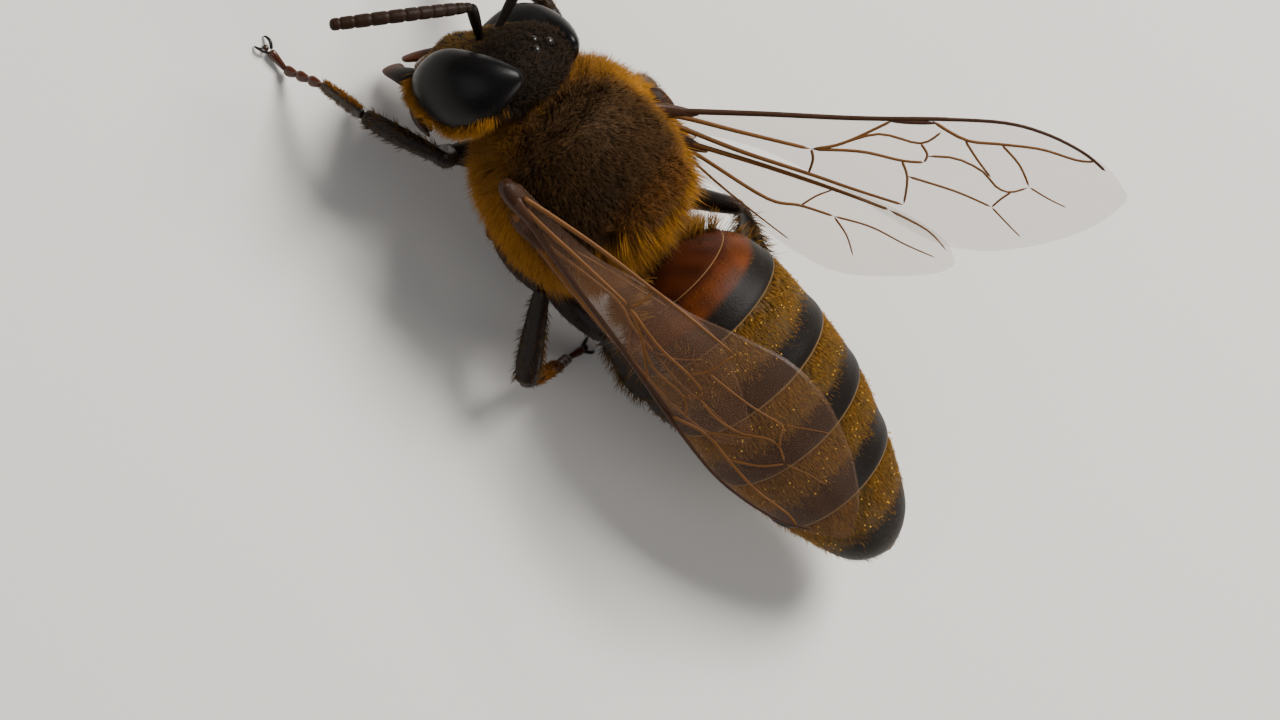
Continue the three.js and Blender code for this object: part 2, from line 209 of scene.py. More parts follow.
@dataclass(frozen=True)
class Loft(Surface):
    """A body along a path.

    Attributes:
        path: Points that its axis passes.
        width: Half sizes to the side.
        over: Half sizes above.
        under: Half sizes below, the same as over when empty.
        up: The direction that counts as above.
        caps: How much of its length each end takes to close.
    """

    path: tuple[Point, ...]
    width: tuple[float, ...]
    over: tuple[float, ...]
    under: tuple[float, ...] = ()
    up: Point = (0, 0, 1)
    caps: tuple[float, float] = (0.1, 0.1)

    def middle(self, u: Array) -> Array:
        """The points of its axis."""
        return through(self.path, u)

    def axes(self, u: Array) -> tuple[Array, Array]:
        """The directions to the side and above at u.

        Args:
            u: Places along it.

        Returns:
            A direction of each for every place.
        """
        along = self.heading(u)
        side = unit(np.cross(np.broadcast_to(np.asarray(self.up, float), along.shape), along))
        return side, np.cross(along, side)

    def closing(self, u: Array) -> Array:
        """How far open the body is at u, from 0 at its tips to 1."""
        return rounded(u, self.caps[0]) * rounded(1 - u, self.caps[1])

    def halves(self, u: Array, turn: Array) -> tuple[Array, Array]:
        """The half sizes at u, with the lower ones where turn points down.

        Args:
            u: Places along it.
            turn: The angles round it.

        Returns:
            The half sizes to the side and up.
        """
        wide, high, low = (through(sizes, u) for sizes in (self.width, self.over, self.under or self.over))
        opening = self.closing(u)
        return wide * opening, np.where(np.sin(turn) > 0, high, low) * opening

    def point(self, u: Array, v: Array) -> Array:
        """Points on the surface.

        Args:
            u: Places along it.
            v: Places round it.

        Returns:
            One point for each.
        """
        turn = 2 * math.pi * v
        wide, high = self.halves(u, turn)
        side, above = self.axes(u)
        return self.middle(u) + side * (np.cos(turn) * wide)[:, None] + above * (np.sin(turn) * high)[:, None]


def tube(
    path: Sequence, radii: tuple[float, ...], up: Sequence = (0, 0, 1), caps: tuple[float, float] = (0.1, 0.1)
) -> Loft:
    """A round body along a path."""
    return Loft(tuple(map(tuple, path)), radii, radii, up=tuple(up), caps=caps)


@dataclass(frozen=True)
class Swell:
    """An ovoid that a skin swells out to: centre, half sizes, its turn, and how softly they join."""

    centre: Point
    size: Point
    turn: Array | None = None
    soft: float = 0.15

    def reach(self, origin: Array, ray: Array, least: Array) -> Array:
        """How far each ray from origin goes, at least least.

        Args:
            origin: Where each ray starts.
            ray: Its direction.
            least: The distance that it goes in any case.

        Returns:
            A distance for each.
        """
        turn = np.eye(3) if self.turn is None else self.turn
        o = ((origin - np.asarray(self.centre)) @ turn) / np.asarray(self.size)
        d = (ray @ turn) / np.asarray(self.size)
        a, b, c = (d * d).sum(1), (o * d).sum(1), (o * o).sum(1) - 1
        inside = b * b - a * c
        far = np.where(inside > 0, (-b + np.sqrt(np.maximum(inside, 0))) / a, least - self.soft)
        h = np.clip(0.5 + 0.5 * (far - least) / self.soft, 0, 1)
        return least * (1 - h) + far * h + self.soft * h * (1 - h)


@dataclass(frozen=True)
class Sculpted(Surface):
    """A loft that swells and is carved: relief gives mm outward at (u, v, points)."""

    base: Loft
    swells: tuple[Swell, ...] = ()
    relief: Callable[[Array, Array, Array], Array] | None = None

    def middle(self, u: Array) -> Array:
        """The points of its axis."""
        return self.base.middle(u)

    def point(self, u: Array, v: Array) -> Array:
        """Points on the surface.

        Args:
            u: Places along it.
            v: Places round it.

        Returns:
            One point for each.
        """
        centre, at = self.middle(u), self.base.point(u, v)
        ray, far = unit(at - centre), np.linalg.norm(at - centre, axis=1)
        for swell in self.swells:
            far = np.where(far > 1e-6, swell.reach(centre, ray, far), far)
        made = centre + ray * far[:, None]
        if self.relief is None:
            return made
        return made + ray * (self.relief(u, v, made) * self.base.closing(u))[:, None]


# ---- meshes
@cache
def row_shift() -> tuple[float, ...]:
    """The step in mm from the bee's axes to the row frame, read from where the frame has the shelf."""
    low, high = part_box("thorax_scutellum")
    return tuple((a + b) / 2 / MM - c for a, b, c in zip(low, high, SHELF, strict=True))


def to_row(points: Array) -> Array:
    """Points in the bee's millimetres as metres in the row frame."""
    return (points + row_shift()) * MM


class Shape:
    """One piece of the model in the making: a bmesh in the bee's millimetres."""

    def __init__(self, name: str) -> None:
        """Starts an empty piece.

        Args:
            name: The piece's name.
        """
        self.name = name
        self.bm = bmesh.new()
        self.tint = self.bm.verts.layers.float_color.new(TINT)

    def dress(self, verts: list, colours: Array, slot: int) -> None:
        """Gives these vertices their colours, and their faces a material slot.

        Args:
            verts: The vertices.
            colours: One colour for each.
            slot: The material slot.
        """
        for vert, colour in zip(verts, colours, strict=True):
            vert[self.tint] = (*colour, 1)
        for face in {f for vert in verts for f in vert.link_faces}:
            face.material_index = slot
            face.smooth = True

    def wrap(
        self,
        surface: Surface,
        along: int,
        about: int,
        colour: Colour | Hue,
        slot: int = 0,
        ease: bool = True,
    ) -> None:
        """Adds a closed surface.

        Args:
            surface: Its shape.
            along: Faces along it.
            about: Faces round it.
            colour: Its colour, or a function of u, v and points.
            slot: Its material slot.
            ease: Whether the rings are closer together at both ends.
        """
        made = bmesh.ops.create_grid(self.bm, x_segments=along, y_segments=about, size=0.5)["verts"]
        flat = np.array([vert.co for vert in made]) + 0.5
        u, v = np.clip(flat[:, 0], 0, 1), flat[:, 1]
        if ease:
            u = (1 - np.cos(math.pi * u)) / 2
        points = surface.point(u, v)
        colours = colour(u, v, points) if callable(colour) else np.tile(colour, (len(u), 1))
        for vert, at in zip(made, points, strict=True):
            vert.co = at
        self.dress(made, colours, slot)
        bmesh.ops.remove_doubles(self.bm, verts=made, dist=SEAM)

    def ball(
        self, centre: Sequence, size: Sequence, colour: Colour, slot: int = 0, turn: Array | None = None
    ) -> None:
        """Adds an ovoid.

        Args:
            centre: Its middle.
            size: Its half sizes.
            colour: Its colour.
            slot: Its material slot.
            turn: A rotation, when it isn't set straight.
        """
        made = bmesh.ops.create_icosphere(self.bm, subdivisions=3, radius=1)["verts"]
        place = Matrix.Translation(Vector(centre))
        if turn is not None:
            place = place @ Matrix(turn.tolist()).to_4x4()
        bmesh.ops.transform(self.bm, matrix=place @ Matrix.Diagonal((*size, 1)), verts=made)
        self.dress(made, np.tile(colour, (len(made), 1)), slot)

    def finish(self, materials: Sequence[Material], nodes: Sequence[str], slot: Slot) -> None:
        """Turns the shape into a piece of the model.

        Args:
            materials: One for each material slot.
            nodes: The frame's nodes that it stands for.
            slot: Its material slot label, passed on to settle.
        """
        bmesh.ops.recalc_face_normals(self.bm, faces=self.bm.faces)
        for vert in self.bm.verts:
            vert.co = Vector(to_row(np.array(vert.co)))
        mesh = bpy.data.meshes.new(self.name)
        self.bm.to_mesh(mesh)
        self.bm.free()
        settle(mesh, materials, nodes, slot)


def settle(mesh: bpy.types.Mesh, materials: Sequence[Material], nodes: Sequence[str], slot: Slot) -> None:
    """Puts a mesh in the scene as a piece of the model.

    Args:
        mesh: Its mesh, in metres.
        materials: One for each material slot.
        nodes: The frame's nodes that it stands for.
        slot: Not used.
    """
    for material in materials:
        mesh.materials.append(material)
    piece = bpy.data.objects.new(mesh.name, mesh)
    bpy.context.scene.collection.objects.link(piece)
    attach(piece, "root")
    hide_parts(*nodes)
    LOG.info("%s: %d faces", mesh.name, len(mesh.polygons))


# ---- coat
@dataclass(frozen=True)
class Hair:
    """One kind of hair.

    Attributes:
        length: From skin to tip.
        width: Thickness at the root.
        lean: 0 for upright hair and 1 for hair that lies flat.
        spread: How far strands stray from their tuft's direction.
        strands: Hairs in a tuft.
        curl: How much the tips bend over.
        clump: How far the strands' roots stand apart.
        vary: How much lengths differ.
    """

    length: float
    width: float = 0.022
    lean: float = 0.4
    spread: float = 0.25
    strands: int = 4
    curl: float = 0.35
    clump: float = 0.05
    vary: float = 0.25


@dataclass
class Field:
    """Tufts waiting to be made: rows of root, direction at the root, direction at the tip, and so on."""

    root: Array
    start: Array
    end: Array
    length: Array
    width: Array
    uv: Array
    colour: Array


def plain(colour: Sequence) -> Hue:
    """The same colour everywhere."""
    return lambda u, v, points: np.tile(colour, (len(u), 1))


def toward(*way: float) -> Lie:
    """A coat that points one way everywhere."""
    return lambda points, normals: np.tile(np.asarray(way, float), (len(points), 1))


def scatter(surface: Surface, count: int, weight: Weight, rng: np.random.Generator) -> tuple[Array, Array]:
    """Random places on a surface.

    Args:
        surface: The skin.
        count: How many places.
        weight: How likely each place is.
        rng: The source of chance.

    Returns:
        u and v of each place.
    """
    tries = max(count * 5, 2000)
    u, v = rng.uniform(0.002, 0.998, tries), rng.uniform(0, 1, tries)
    points, normals = surface.point(u, v), surface.normal(u, v)
    share = surface.area(u, v) * np.clip(weight(u, v, points, normals), 0, None)
    if share.sum() <= 0:
        raise ValueError("no place has any weight")
    keep = rng.choice(tries, count, p=share / share.sum(), replace=(share > 0).sum() < count)
    return u[keep], v[keep]


def grow(
    surface: Surface,
    count: int,
    hair: Hair,
    lie: Lie,
    colour: Hue,
    weight: Weight,
    tile: Tile = (0, 0, 1, 1),
    seed: int = 0,
) -> Field:
    """Grows tufts on a skin.

    Args:
        surface: The skin.
        count: How many hairs.
        hair: Their kind.
        lie: Where the coat points.
        colour: Its colours.
        weight: How dense it is.
        tile: Where the skin's map lies on the piece's.
        seed: Sets this patch's chance apart.

    Returns:
        The hairs.
    """
    rng = np.random.default_rng(SEED + seed)
    share = 1.0
    tufts = max(int(count * share / hair.strands), 3)
    u, v = scatter(surface, tufts, weight, rng)
    points, out = surface.point(u, v), surface.normal(u, v)
    flow = lie(points, out)
    flow = unit(flow - out * dot(flow, out))
    shade = colour(u, v, points) * rng.uniform(0.8, 1.2, (tufts, 1))
    long = hair.length * rng.uniform(1 - hair.vary, 1, tufts)
    tuft_way = unit(out * (1 - hair.lean) + flow * hair.lean + rng.normal(0, hair.spread * 0.6, (tufts, 3)))

    k = hair.strands
    out, flow, tuft_way = (np.repeat(a, k, 0) for a in (out, flow, tuft_way))
    total = len(out)
    stray = rng.normal(0, 1, (total, 3))
    stray = stray - out * dot(stray, out)
    root = np.repeat(points, k, 0) + stray * hair.clump - out * ROOT_DEPTH
    start = unit(tuft_way + rng.normal(0, hair.spread * 0.5, (total, 3)) + out * 0.1)
    end = unit(start * (1 - hair.curl) + (flow * 0.8 + out * 0.2) * hair.curl - stray * 0.03)
    left, bottom, wide, high = tile
    uv = np.stack([left + wide * u, bottom + high * v], 1)
    return Field(
        root=root,
        start=start,
        end=end,
        length=np.repeat(long, k) * rng.uniform(0.75, 1, total),
        width=np.full(total, hair.width) * rng.uniform(0.8, 1.15, total),
        uv=np.repeat(uv, k, 0),
        colour=np.repeat(shade, k, 0) * rng.uniform(0.9, 1.1, (total, 1)),
    )


def coat_piece(name: str, fields: Sequence[Field], material: Material, nodes: Sequence[str]) -> None:
    """Makes one piece of coat: three-sided hairs that bend and taper to a point.

    Args:
        name: The piece's name.
        fields: Its hairs.
        material: Its finish.
        nodes: The frame's nodes that it stands for.
    """
    rows = ("root", "start", "end", "length", "width", "uv", "colour")
    columns = (np.concatenate([getattr(field, row) for field in fields]) for row in rows)
    root, start, end, length, width, uv, colour = columns
    count, each = len(root), 3 * len(RINGS) + 1
    bend = root + start * (length * 0.5)[:, None]
    tip = bend + end * (length * 0.5)[:, None]
    side = unit(np.cross(start, end + np.array((0.31, 0.17, 0.23))))
    other = np.cross(start, side)
    verts = np.empty((count, each, 3))
    for ring, (at, thick) in enumerate(RINGS):
        f = np.float64(at)
        middle = root * (1 - f) ** 2 + bend * (2 * f * (1 - f)) + tip * f**2
        for corner in range(3):
            turn = 2 * math.pi * corner / 3
            around = side * math.cos(turn) + other * math.sin(turn)
            verts[:, 3 * ring + corner] = middle + around * (width * thick / 2)[:, None]
    verts[:, -1] = tip

    faces = [(0, 2, 1)]
    for ring in range(len(RINGS) - 1):
        for corner in range(3):
            a, b = 3 * ring + corner, 3 * ring + (corner + 1) % 3
            faces += [(a, b, b + 3), (a, b + 3, a + 3)]
    base = 3 * (len(RINGS) - 1)
    faces += [(base + corner, base + (corner + 1) % 3, each - 1) for corner in range(3)]
    corners = (np.array(faces).ravel()[None, :] + (np.arange(count) * each)[:, None]).ravel()

    spots = [(corner - 1, ring / len(RINGS) - 0.5) for ring in range(len(RINGS)) for corner in range(3)]
    patch = uv[:, None, :] + np.array([*spots, (0, 0.5)])[None] * PATCH / 2
    # painted shade darkens each hair at its root, deep in the coat, and painted light brightens its tip
    dark, even, bright = PAINTED_HAIR_LIGHT
    light = np.array([dark] * 3 + [even] * 3 * (len(RINGS) - 1) + [bright])
    shade = np.ones((count, each, 4))
    shade[:, :, :3] = np.clip(colour[:, None, :] * light[None, :, None], 0, 1)

    mesh = bpy.data.meshes.new(name)
    mesh.vertices.add(count * each)
    mesh.vertices.foreach_set("co", to_row(verts.reshape(-1, 3)).astype(np.float32).ravel())
    mesh.loops.add(len(corners))
    mesh.loops.foreach_set("vertex_index", corners.astype(np.int32))
    mesh.polygons.add(len(corners) // 3)
    mesh.polygons.foreach_set("loop_start", np.arange(0, len(corners), 3, dtype=np.int32))
    mesh.polygons.foreach_set("use_smooth", np.ones(len(corners) // 3, bool))
    mesh.update(calc_edges=True)
    chart = mesh.uv_layers.new(name=COAT_MAP)
    chart.uv.foreach_set("vector", patch.reshape(-1, 2)[corners].astype(np.float32).ravel())
    tint = mesh.attributes.new(TINT, "FLOAT_COLOR", "POINT")
    tint.data.foreach_set("color", shade.astype(np.float32).ravel())
    settle(mesh, [material], nodes, Slot.COAT)


# ---- finishes
class Nodes:
    """A small helper that builds one material's nodes."""

    def __init__(self, name: str) -> None:
        """Starts a material with one Principled shader.

        Args:
            name: The material's name.
        """
        self.material = bpy.data.materials.new(name)
        self.material.use_nodes = True
        self.tree = self.material.node_tree
        self.shader = self.tree.nodes["Principled BSDF"]

    def add(self, kind: str, **settings: object) -> bpy.types.Node:
        """A new node with these settings.

        Args:
            kind: The kind of node.
            **settings: Its settings.

        Returns:
            The node.
        """
        node = self.tree.nodes.new(kind)
        for key, value in settings.items():
            setattr(node, key, value)
        return node

    def join(self, output: bpy.types.NodeSocket, into: bpy.types.NodeSocket) -> None:
        """Links two sockets."""
        self.tree.links.new(output, into)

    def sockets(self, **values: object) -> None:
        """Sets the shader's own sockets."""
        for key, value in values.items():
            self.shader.inputs[key.replace("_", " ")].default_value = value

    def noise(self, size: float, detail: float = 3.0, kind: str = "ShaderNodeTexNoise") -> bpy.types.Node:
        """A pattern in object space with features about size mm across.

        Args:
            size: The size of its features, in mm.
            detail: How many finer layers it has.
            kind: The kind of node.

        Returns:
            The node.
        """
        place = self.add("ShaderNodeTexCoord")
        made = self.add(kind)
        made.inputs["Scale"].default_value = 1 / (size * MM)
        if "Detail" in made.inputs:
            made.inputs["Detail"].default_value = detail
        self.join(place.outputs["Object"], made.inputs["Vector"])
        return made

    def bump(self, height: bpy.types.NodeSocket, strength: float, depth: float) -> None:
        """Lays a bump over the whole finish.

        Args:
            height: Where its height comes from.
            strength: How much of it counts.
            depth: Its depth in mm.
        """
        made = self.add("ShaderNodeBump")
        made.inputs["Strength"].default_value = strength
        made.inputs["Distance"].default_value = depth * MM
        self.join(height, made.inputs["Height"])
        self.join(made.outputs["Normal"], self.shader.inputs["Normal"])


@dataclass(frozen=True)
class HairFinish:
    """Hair in the tint's colours, dull with a soft sheen."""

    name: str = "bee_hair"
    roughness: float = 0.6
    sheen: float = 0.03

    def make(self) -> Material:
        """Makes the material.

        Returns:
            The material.
        """
        nodes = Nodes(self.name)
        tint = nodes.add("ShaderNodeAttribute", attribute_name=TINT)
        nodes.join(tint.outputs["Color"], nodes.shader.inputs["Base Color"])
        nodes.sockets(Roughness=self.roughness, Specular_IOR_Level=0.1)
        nodes.sockets(Sheen_Weight=self.sheen, Sheen_Roughness=0.4)
        nodes.shader.inputs["Sheen Tint"].default_value = (1.0, 0.85, 0.6, 1)
        return nodes.material


@dataclass(frozen=True)
class ShellFinish:
    """Horny shell in the tint's colours, with pits and a slight mottle.

    Attributes:
        name: The material's name.
        roughness: How dull it is on the whole.
        coat: A clear gloss over it.
        pit: Size of the pits in mm.
        pit_depth: Their depth in mm.
        mottle: How much its colour varies.
        shine: How much of the light its face throws back.
    """

    name: str
    roughness: float = 0.44
    coat: float = 0.0
    pit: float = 0.05
    pit_depth: float = 0.012
    mottle: float = 0.25
    shine: float = 0.2

    def make(self) -> Material:
        """Makes the material.

        Returns:
            The material.
        """
        nodes = Nodes(self.name)
        tint = nodes.add("ShaderNodeAttribute", attribute_name=TINT)
        cloud = nodes.noise(0.5, 4)
        spread = nodes.add("ShaderNodeMapRange")
        spread.inputs["To Min"].default_value = 1 - self.mottle
        spread.inputs["To Max"].default_value = 1 + self.mottle
        nodes.join(cloud.outputs["Fac"], spread.inputs["Value"])
        mottled = nodes.add("ShaderNodeVectorMath", operation="SCALE")
        nodes.join(tint.outputs["Color"], mottled.inputs[0])
        nodes.join(spread.outputs["Result"], mottled.inputs["Scale"])
        nodes.join(mottled.outputs["Vector"], nodes.shader.inputs["Base Color"])
        fine = nodes.noise(self.pit, 2)
        nodes.bump(fine.outputs["Fac"], 0.6, self.pit_depth)
        nodes.sockets(Roughness=self.roughness, Specular_IOR_Level=self.shine)
        nodes.sockets(Coat_Weight=self.coat, Coat_Roughness=0.25)
        return nodes.material


@dataclass(frozen=True)
class EyeFinish:
    """The compound eye's lenses: a black gloss broken by facets."""

    name: str = "bee_eye"
    facet: float = 0.042
    colour: Colour = (0.004, 0.0035, 0.0035)

    def make(self) -> Material:
        """Makes the material.

        Returns:
            The material.
        """
        nodes = Nodes(self.name)
        cells = nodes.noise(self.facet, kind="ShaderNodeTexVoronoi")
        cells.inputs["Randomness"].default_value = 0.35
        nodes.bump(cells.outputs["Distance"], 0.25, -0.004)
        nodes.sockets(Roughness=0.33, Specular_IOR_Level=0.13)
        nodes.shader.inputs["Base Color"].default_value = (*self.colour, 1)
        return nodes.material


@dataclass(frozen=True)
class FilmFinish:
    """A wing's clear film, faintly amber, with a slight crinkle."""

    name: str
    colour: Colour = (0.4, 0.25, 0.14)
    alpha: float = 0.14
    crinkle: float = 0.35

    def make(self) -> Material:
        """Makes the material.

        Returns:
            The material.
        """
        nodes = Nodes(self.name)
        waves = nodes.noise(self.crinkle, 2)
        nodes.bump(waves.outputs["Fac"], 0.5, 0.03)
        nodes.sockets(Roughness=0.28, Alpha=self.alpha, Specular_IOR_Level=0.5)
        nodes.shader.inputs["Base Color"].default_value = (*self.colour, 1)
        return nodes.material


@dataclass(frozen=True)
class PlainFinish:
    """One colour throughout."""

    name: str
    colour: Colour
    roughness: float = 0.5

    def make(self) -> Material:
        """Makes the material.

        Returns:
            The material.
        """
        nodes = Nodes(self.name)
        nodes.sockets(Roughness=self.roughness)
        nodes.shader.inputs["Base Color"].default_value = (*self.colour, 1)
        return nodes.material


@dataclass(frozen=True)
class Palette:
    """The bee's colours."""

    black: Colour = (0.007, 0.0045, 0.003)
    brown: Colour = (0.035, 0.013, 0.005)
    red_brown: Colour = (0.055, 0.012, 0.003)
    amber: Colour = (0.1, 0.021, 0.0015)
    rim: Colour = (0.3, 0.17, 0.06)
    tan: Colour = (0.168, 0.088, 0.017)
    gold: Colour = (0.3, 0.125, 0.008)
    pale: Colour = (0.33, 0.18, 0.05)
    disc: Colour = (0.062, 0.029, 0.009)
    shelf: Colour = (0.13, 0.05, 0.009)
    # painted highlight: a paler, greyer colour laid on the front of the thorax's dark disc, where the light
    # catches it
    sheen: Colour = (0.12, 0.07, 0.035)
    # dark brown: the head crown's own dark hair, and painted shade on the thorax's disc
    dark_and_shade: Colour = (0.025, 0.014, 0.007)
    pollen: Colour = (0.7, 0.38, 0.03)
    felt: Colour = (0.07, 0.037, 0.009)
    vein: Colour = (0.14, 0.055, 0.012)
    strut: Colour = (0.045, 0.018, 0.008)


INK = Palette()


@dataclass(frozen=True)
class Kit:
    """The materials, made once."""

    hair: Material
    skin: Material
    plate: Material
    shell: Material
    gloss: Material
    eye: Material
    film: Material
    smoked: Material
    pollen: Material

    @classmethod
    def make(cls) -> "Kit":
        """Makes all of them.
        """
        return cls(
            hair=HairFinish().make(),
            skin=ShellFinish("bee_skin", roughness=0.8, shine=0.1).make(),
            plate=ShellFinish("bee_plate", roughness=0.5, shine=0.12).make(),
            shell=ShellFinish("bee_shell").make(),
            gloss=ShellFinish("bee_gloss", roughness=0.3, coat=0.15, pit_depth=0.004, shine=0.4).make(),
            eye=EyeFinish().make(),
            film=FilmFinish("bee_film").make(),
            # painted shade: a darker, denser copy of the same wing film for the left wings, on the bee's
            # shaded side
            smoked=FilmFinish("bee_film_shaded", (0.2, 0.1, 0.055), 0.18).make(),
            pollen=PlainFinish("bee_pollen", INK.pollen, 0.7).make(),
        )


# ---- thorax
@dataclass(frozen=True)
class Thorax:
    """The thorax: one skin from neck to waist, with the raised shelf behind, under a dense coat.

    Attributes:
        front: Where it starts.
        rear: Where it ends.
        level: Height of its axis from the wing level.
        disc_middle: Middle of the dark disc on the back.
        disc_half: Half sizes of the disc.
        nodes: The frame's nodes that it stands for.
    """

    front: float = -1.95
    rear: float = 2.25
    level: float = -0.48
    disc_middle: tuple[float, float] = (0.33, -0.2)
    disc_half: tuple[float, float] = (2.05, 1.78)
    nodes: tuple[str, ...] = ("thorax_pronotum", "thorax_middle", "thorax_scutellum", "thorax_propodeum")

    def skin(self) -> Surface:
        """The skin's shape, inside the solids by the coat's depth.

        Returns:
            The skin, with the shelf swelling out of it.
        """
        z = BODY_HEIGHT + self.level
        body = Loft(
            path=((0, self.front + 0.3, z), (0, self.rear - 0.12, z)),
            width=(0.9, 1.42, 1.72, 1.9, 1.98, 1.92, 1.62, 1.1, 0.6),
            over=(0.8, 1.18, 1.48, 1.64, 1.7, 1.6, 1.3, 0.85, 0.45),
            under=(0.8, 1.05, 1.35, 1.48, 1.5, 1.42, 1.2, 0.8, 0.45),
            caps=(0.12, 0.08),
        )
        lean = 0.5
        c, s = math.cos(lean), math.sin(lean)
        turn = np.array(((1, 0, 0), (0, c, -s), (0, s, c)))
        shelf = Swell((0, 0.98, BODY_HEIGHT + 1.02), (1.0, 0.42, 0.36), turn, 0.1)
        return Sculpted(body, (shelf,), self.relief)

    @staticmethod
    def relief(u: Array, v: Array, points: Array) -> Array:
        """The collar's groove, the back's seams and the side's furrows.

        Args:
            u: Not used.
            v: Not used.
            points: Points there.

        Returns:
            How far out each point is moved.
        """
        x, y, z = points.T
        top = rise(z, BODY_HEIGHT + 0.2, BODY_HEIGHT + 0.9)
        collar = -0.09 * bell(y, -1.22, 0.09) + 0.05 * bell(y, -1.42, 0.12)
        seams = -0.03 * bell(np.abs(x), 0.0, 0.04) - 0.02 * bell(np.abs(x), 0.7, 0.05)
        furrow = -0.08 * bell(y - 0.35 * (z - BODY_HEIGHT), 0.2, 0.1) * (1 - top)
        waist = -0.07 * bell(y, 1.32, 0.1)
        return collar + seams * top * bell(y, -0.3, 0.9) + furrow + waist

    def disc(self, points: Array) -> Array:
        """How far each place is inside the dark disc on the back.

        Args:
            points: The places.

        Returns:
            A share from 0 to 1 for each.
        """
        x, y, z = points.T
        (middle_x, middle_y), (half_x, half_y) = self.disc_middle, self.disc_half
        out = (np.abs((x - middle_x) / half_x) ** 2.4 + np.abs((y - middle_y) / half_y) ** 2.4) ** (1 / 2.4)
        out = out + 0.06 * wobble(points, 0.9, 5) + 0.09 * wobble(points, 0.22, 9)
        return rise(-out, -1.1, -0.76) * rise(z + 0.15 * x, BODY_HEIGHT + 0.05, BODY_HEIGHT + 0.5)

    def hue(self, u: Array, v: Array, points: Array) -> Array:
        """The coat's colours: dark brown on the disc, gold round it and paler below, with a painted highlight
        on the disc's front, painted shade on its left side and painted shade behind the shelf.

        Args:
            u: Not used.
            v: Not used.
            points: Points there.

        Returns:
            One colour for each.
        """
        x, y, z = points.T
        base = mixed(INK.gold, INK.pale, 0.7 * rise(-z, -2.6, -1.4))
        base = mixed(base, INK.pale, 0.25 * rise(y, 1.2, 1.7))
        base = mixed(base, INK.disc, 0.4 * rise(-y, 0.5, 1.2) * rise(z, BODY_HEIGHT - 1.1, BODY_HEIGHT - 0.3))
        # painted highlight: the disc's front turns paler and greyer where the light catches it
        dark = mixed(INK.disc, INK.sheen, 0.6 * bell(x, -0.1, 0.6) * bell(y, -0.8, 0.45))
        # painted shade: the disc darkens on its left side, away from the light
        dark = mixed(dark, INK.dark_and_shade, 0.6 * bell(x, 0.7, 0.5) * bell(y, 0.2, 0.45))
        dark = mixed(dark, INK.shelf, bell(y, 0.95, 0.32) * rise(-np.abs(x), -1.2, -0.85))
        # painted shade: the disc darkens behind the shelf, where the body falls away under its rear edge
        dark = mixed(dark, INK.dark_and_shade, 0.8 * rise(y, 1.28, 1.4))
        return mixed(base, dark, self.disc(points)) * (1 + 0.15 * wobble(points, 0.7, 3))[:, None]

    @staticmethod
    def on_top(points: Array, normals: Array) -> Array:
        """Where the back faces up, from the collar to the shelf's rear."""
        up, y = normals[:, 2], points[:, 1]
        return rise(up, 0.0, 0.4) * rise(-y, -1.55, -1.4) * rise(y, -1.6, -1.3)

    def on_disc(self, u: Array, v: Array, points: Array, normals: Array) -> Array:
        """Where the back is dark."""
        return self.on_top(points, normals) * self.disc(points)

    def round_disc(self, u: Array, v: Array, points: Array, normals: Array) -> Array:
        """Where the back is gold."""
        return self.on_top(points, normals) * (1 - self.disc(points))

    @staticmethod
    def on_sides(u: Array, v: Array, points: Array, normals: Array) -> Array:
        """Where the flanks are, short of the waist."""
        up, y = normals[:, 2], points[:, 1]
        return rise(-up, -0.6, -0.1) * rise(up, -0.75, -0.2) * rise(-y, -1.6, -0.9)

    @staticmethod
    def on_front(u: Array, v: Array, points: Array, normals: Array) -> Array:
        """Where the collar is."""
        return rise(-points[:, 1], 0.95, 1.35) * rise(points[:, 2], 1.8, 2.6)

    @staticmethod
    def on_rear(u: Array, v: Array, points: Array, normals: Array) -> Array:
        """Where the body falls away behind the shelf."""
        behind = rise(points[:, 1] + 0.4 * np.abs(points[:, 0]), 1.3, 1.5)
        return behind * rise(normals[:, 2], -0.6, -0.1)

    @staticmethod
    def on_belly(u: Array, v: Array, points: Array, normals: Array) -> Array:
        """Where the body faces down."""
        return rise(-normals[:, 2], 0.2, 0.6)

    @staticmethod
    def rearward(points: Array, normals: Array) -> Array:
        """A coat that points back and spreads to both sides."""
        return np.stack([0.35 * points[:, 0], np.ones(len(points)), np.full(len(points), -0.1)], 1)

    def build(self, kit: Kit) -> None:
        """Makes the skin and its coat.

        Args:
            kit: The materials.
        """
        skin = self.skin()
        shape = Shape("thorax_skin")
        shape.wrap(skin, 90, 96, lambda u, v, points: self.hue(u, v, points) * SKIN_SHADE)
        shape.finish([kit.skin], self.nodes, Slot.COAT)
        self.coat(kit, skin)

    def coat(self, kit: Kit, skin: Surface) -> None:
        """Grows the coat: short on the disc, longer round it, longest on the flanks and behind.

        Args:
            kit: The materials.
            skin: The skin.
        """
        short = Hair(0.27, 0.014, lean=0.5, spread=0.3)
        back = Hair(0.36, 0.015, lean=0.42, spread=0.3, curl=0.4)
        side = Hair(0.62, 0.017, lean=0.45, spread=0.26, curl=0.45, clump=0.06)
        belly = replace(side, length=0.5)
        collar = replace(side, length=0.55, lean=0.42)
        rear = replace(side, length=0.95, lean=0.72, spread=0.2, curl=0.3)
        patches = {
            "disc": [grow(skin, 15000, short, toward(0, 1, -0.25), self.hue, self.on_disc, seed=6)],
            "back": [grow(skin, 12000, back, toward(0, 1, -0.25), self.hue, self.round_disc, seed=1)],
            "sides": [grow(skin, 17500, side, toward(0, 0.8, -0.5), self.hue, self.on_sides, seed=2)],
            "front": [
                grow(skin, 9000, collar, toward(0, -0.3, 0.6), self.hue, self.on_front, seed=3),
                grow(skin, 4000, belly, toward(0, 1, -0.2), self.hue, self.on_belly, seed=4),
            ],
            "rear": [grow(skin, 14000, rear, self.rearward, plain(INK.gold), self.on_rear, seed=5)],
        }
        for name, fields in patches.items():
            coat_piece(f"coat_{name}", fields, kit.hair, self.nodes)


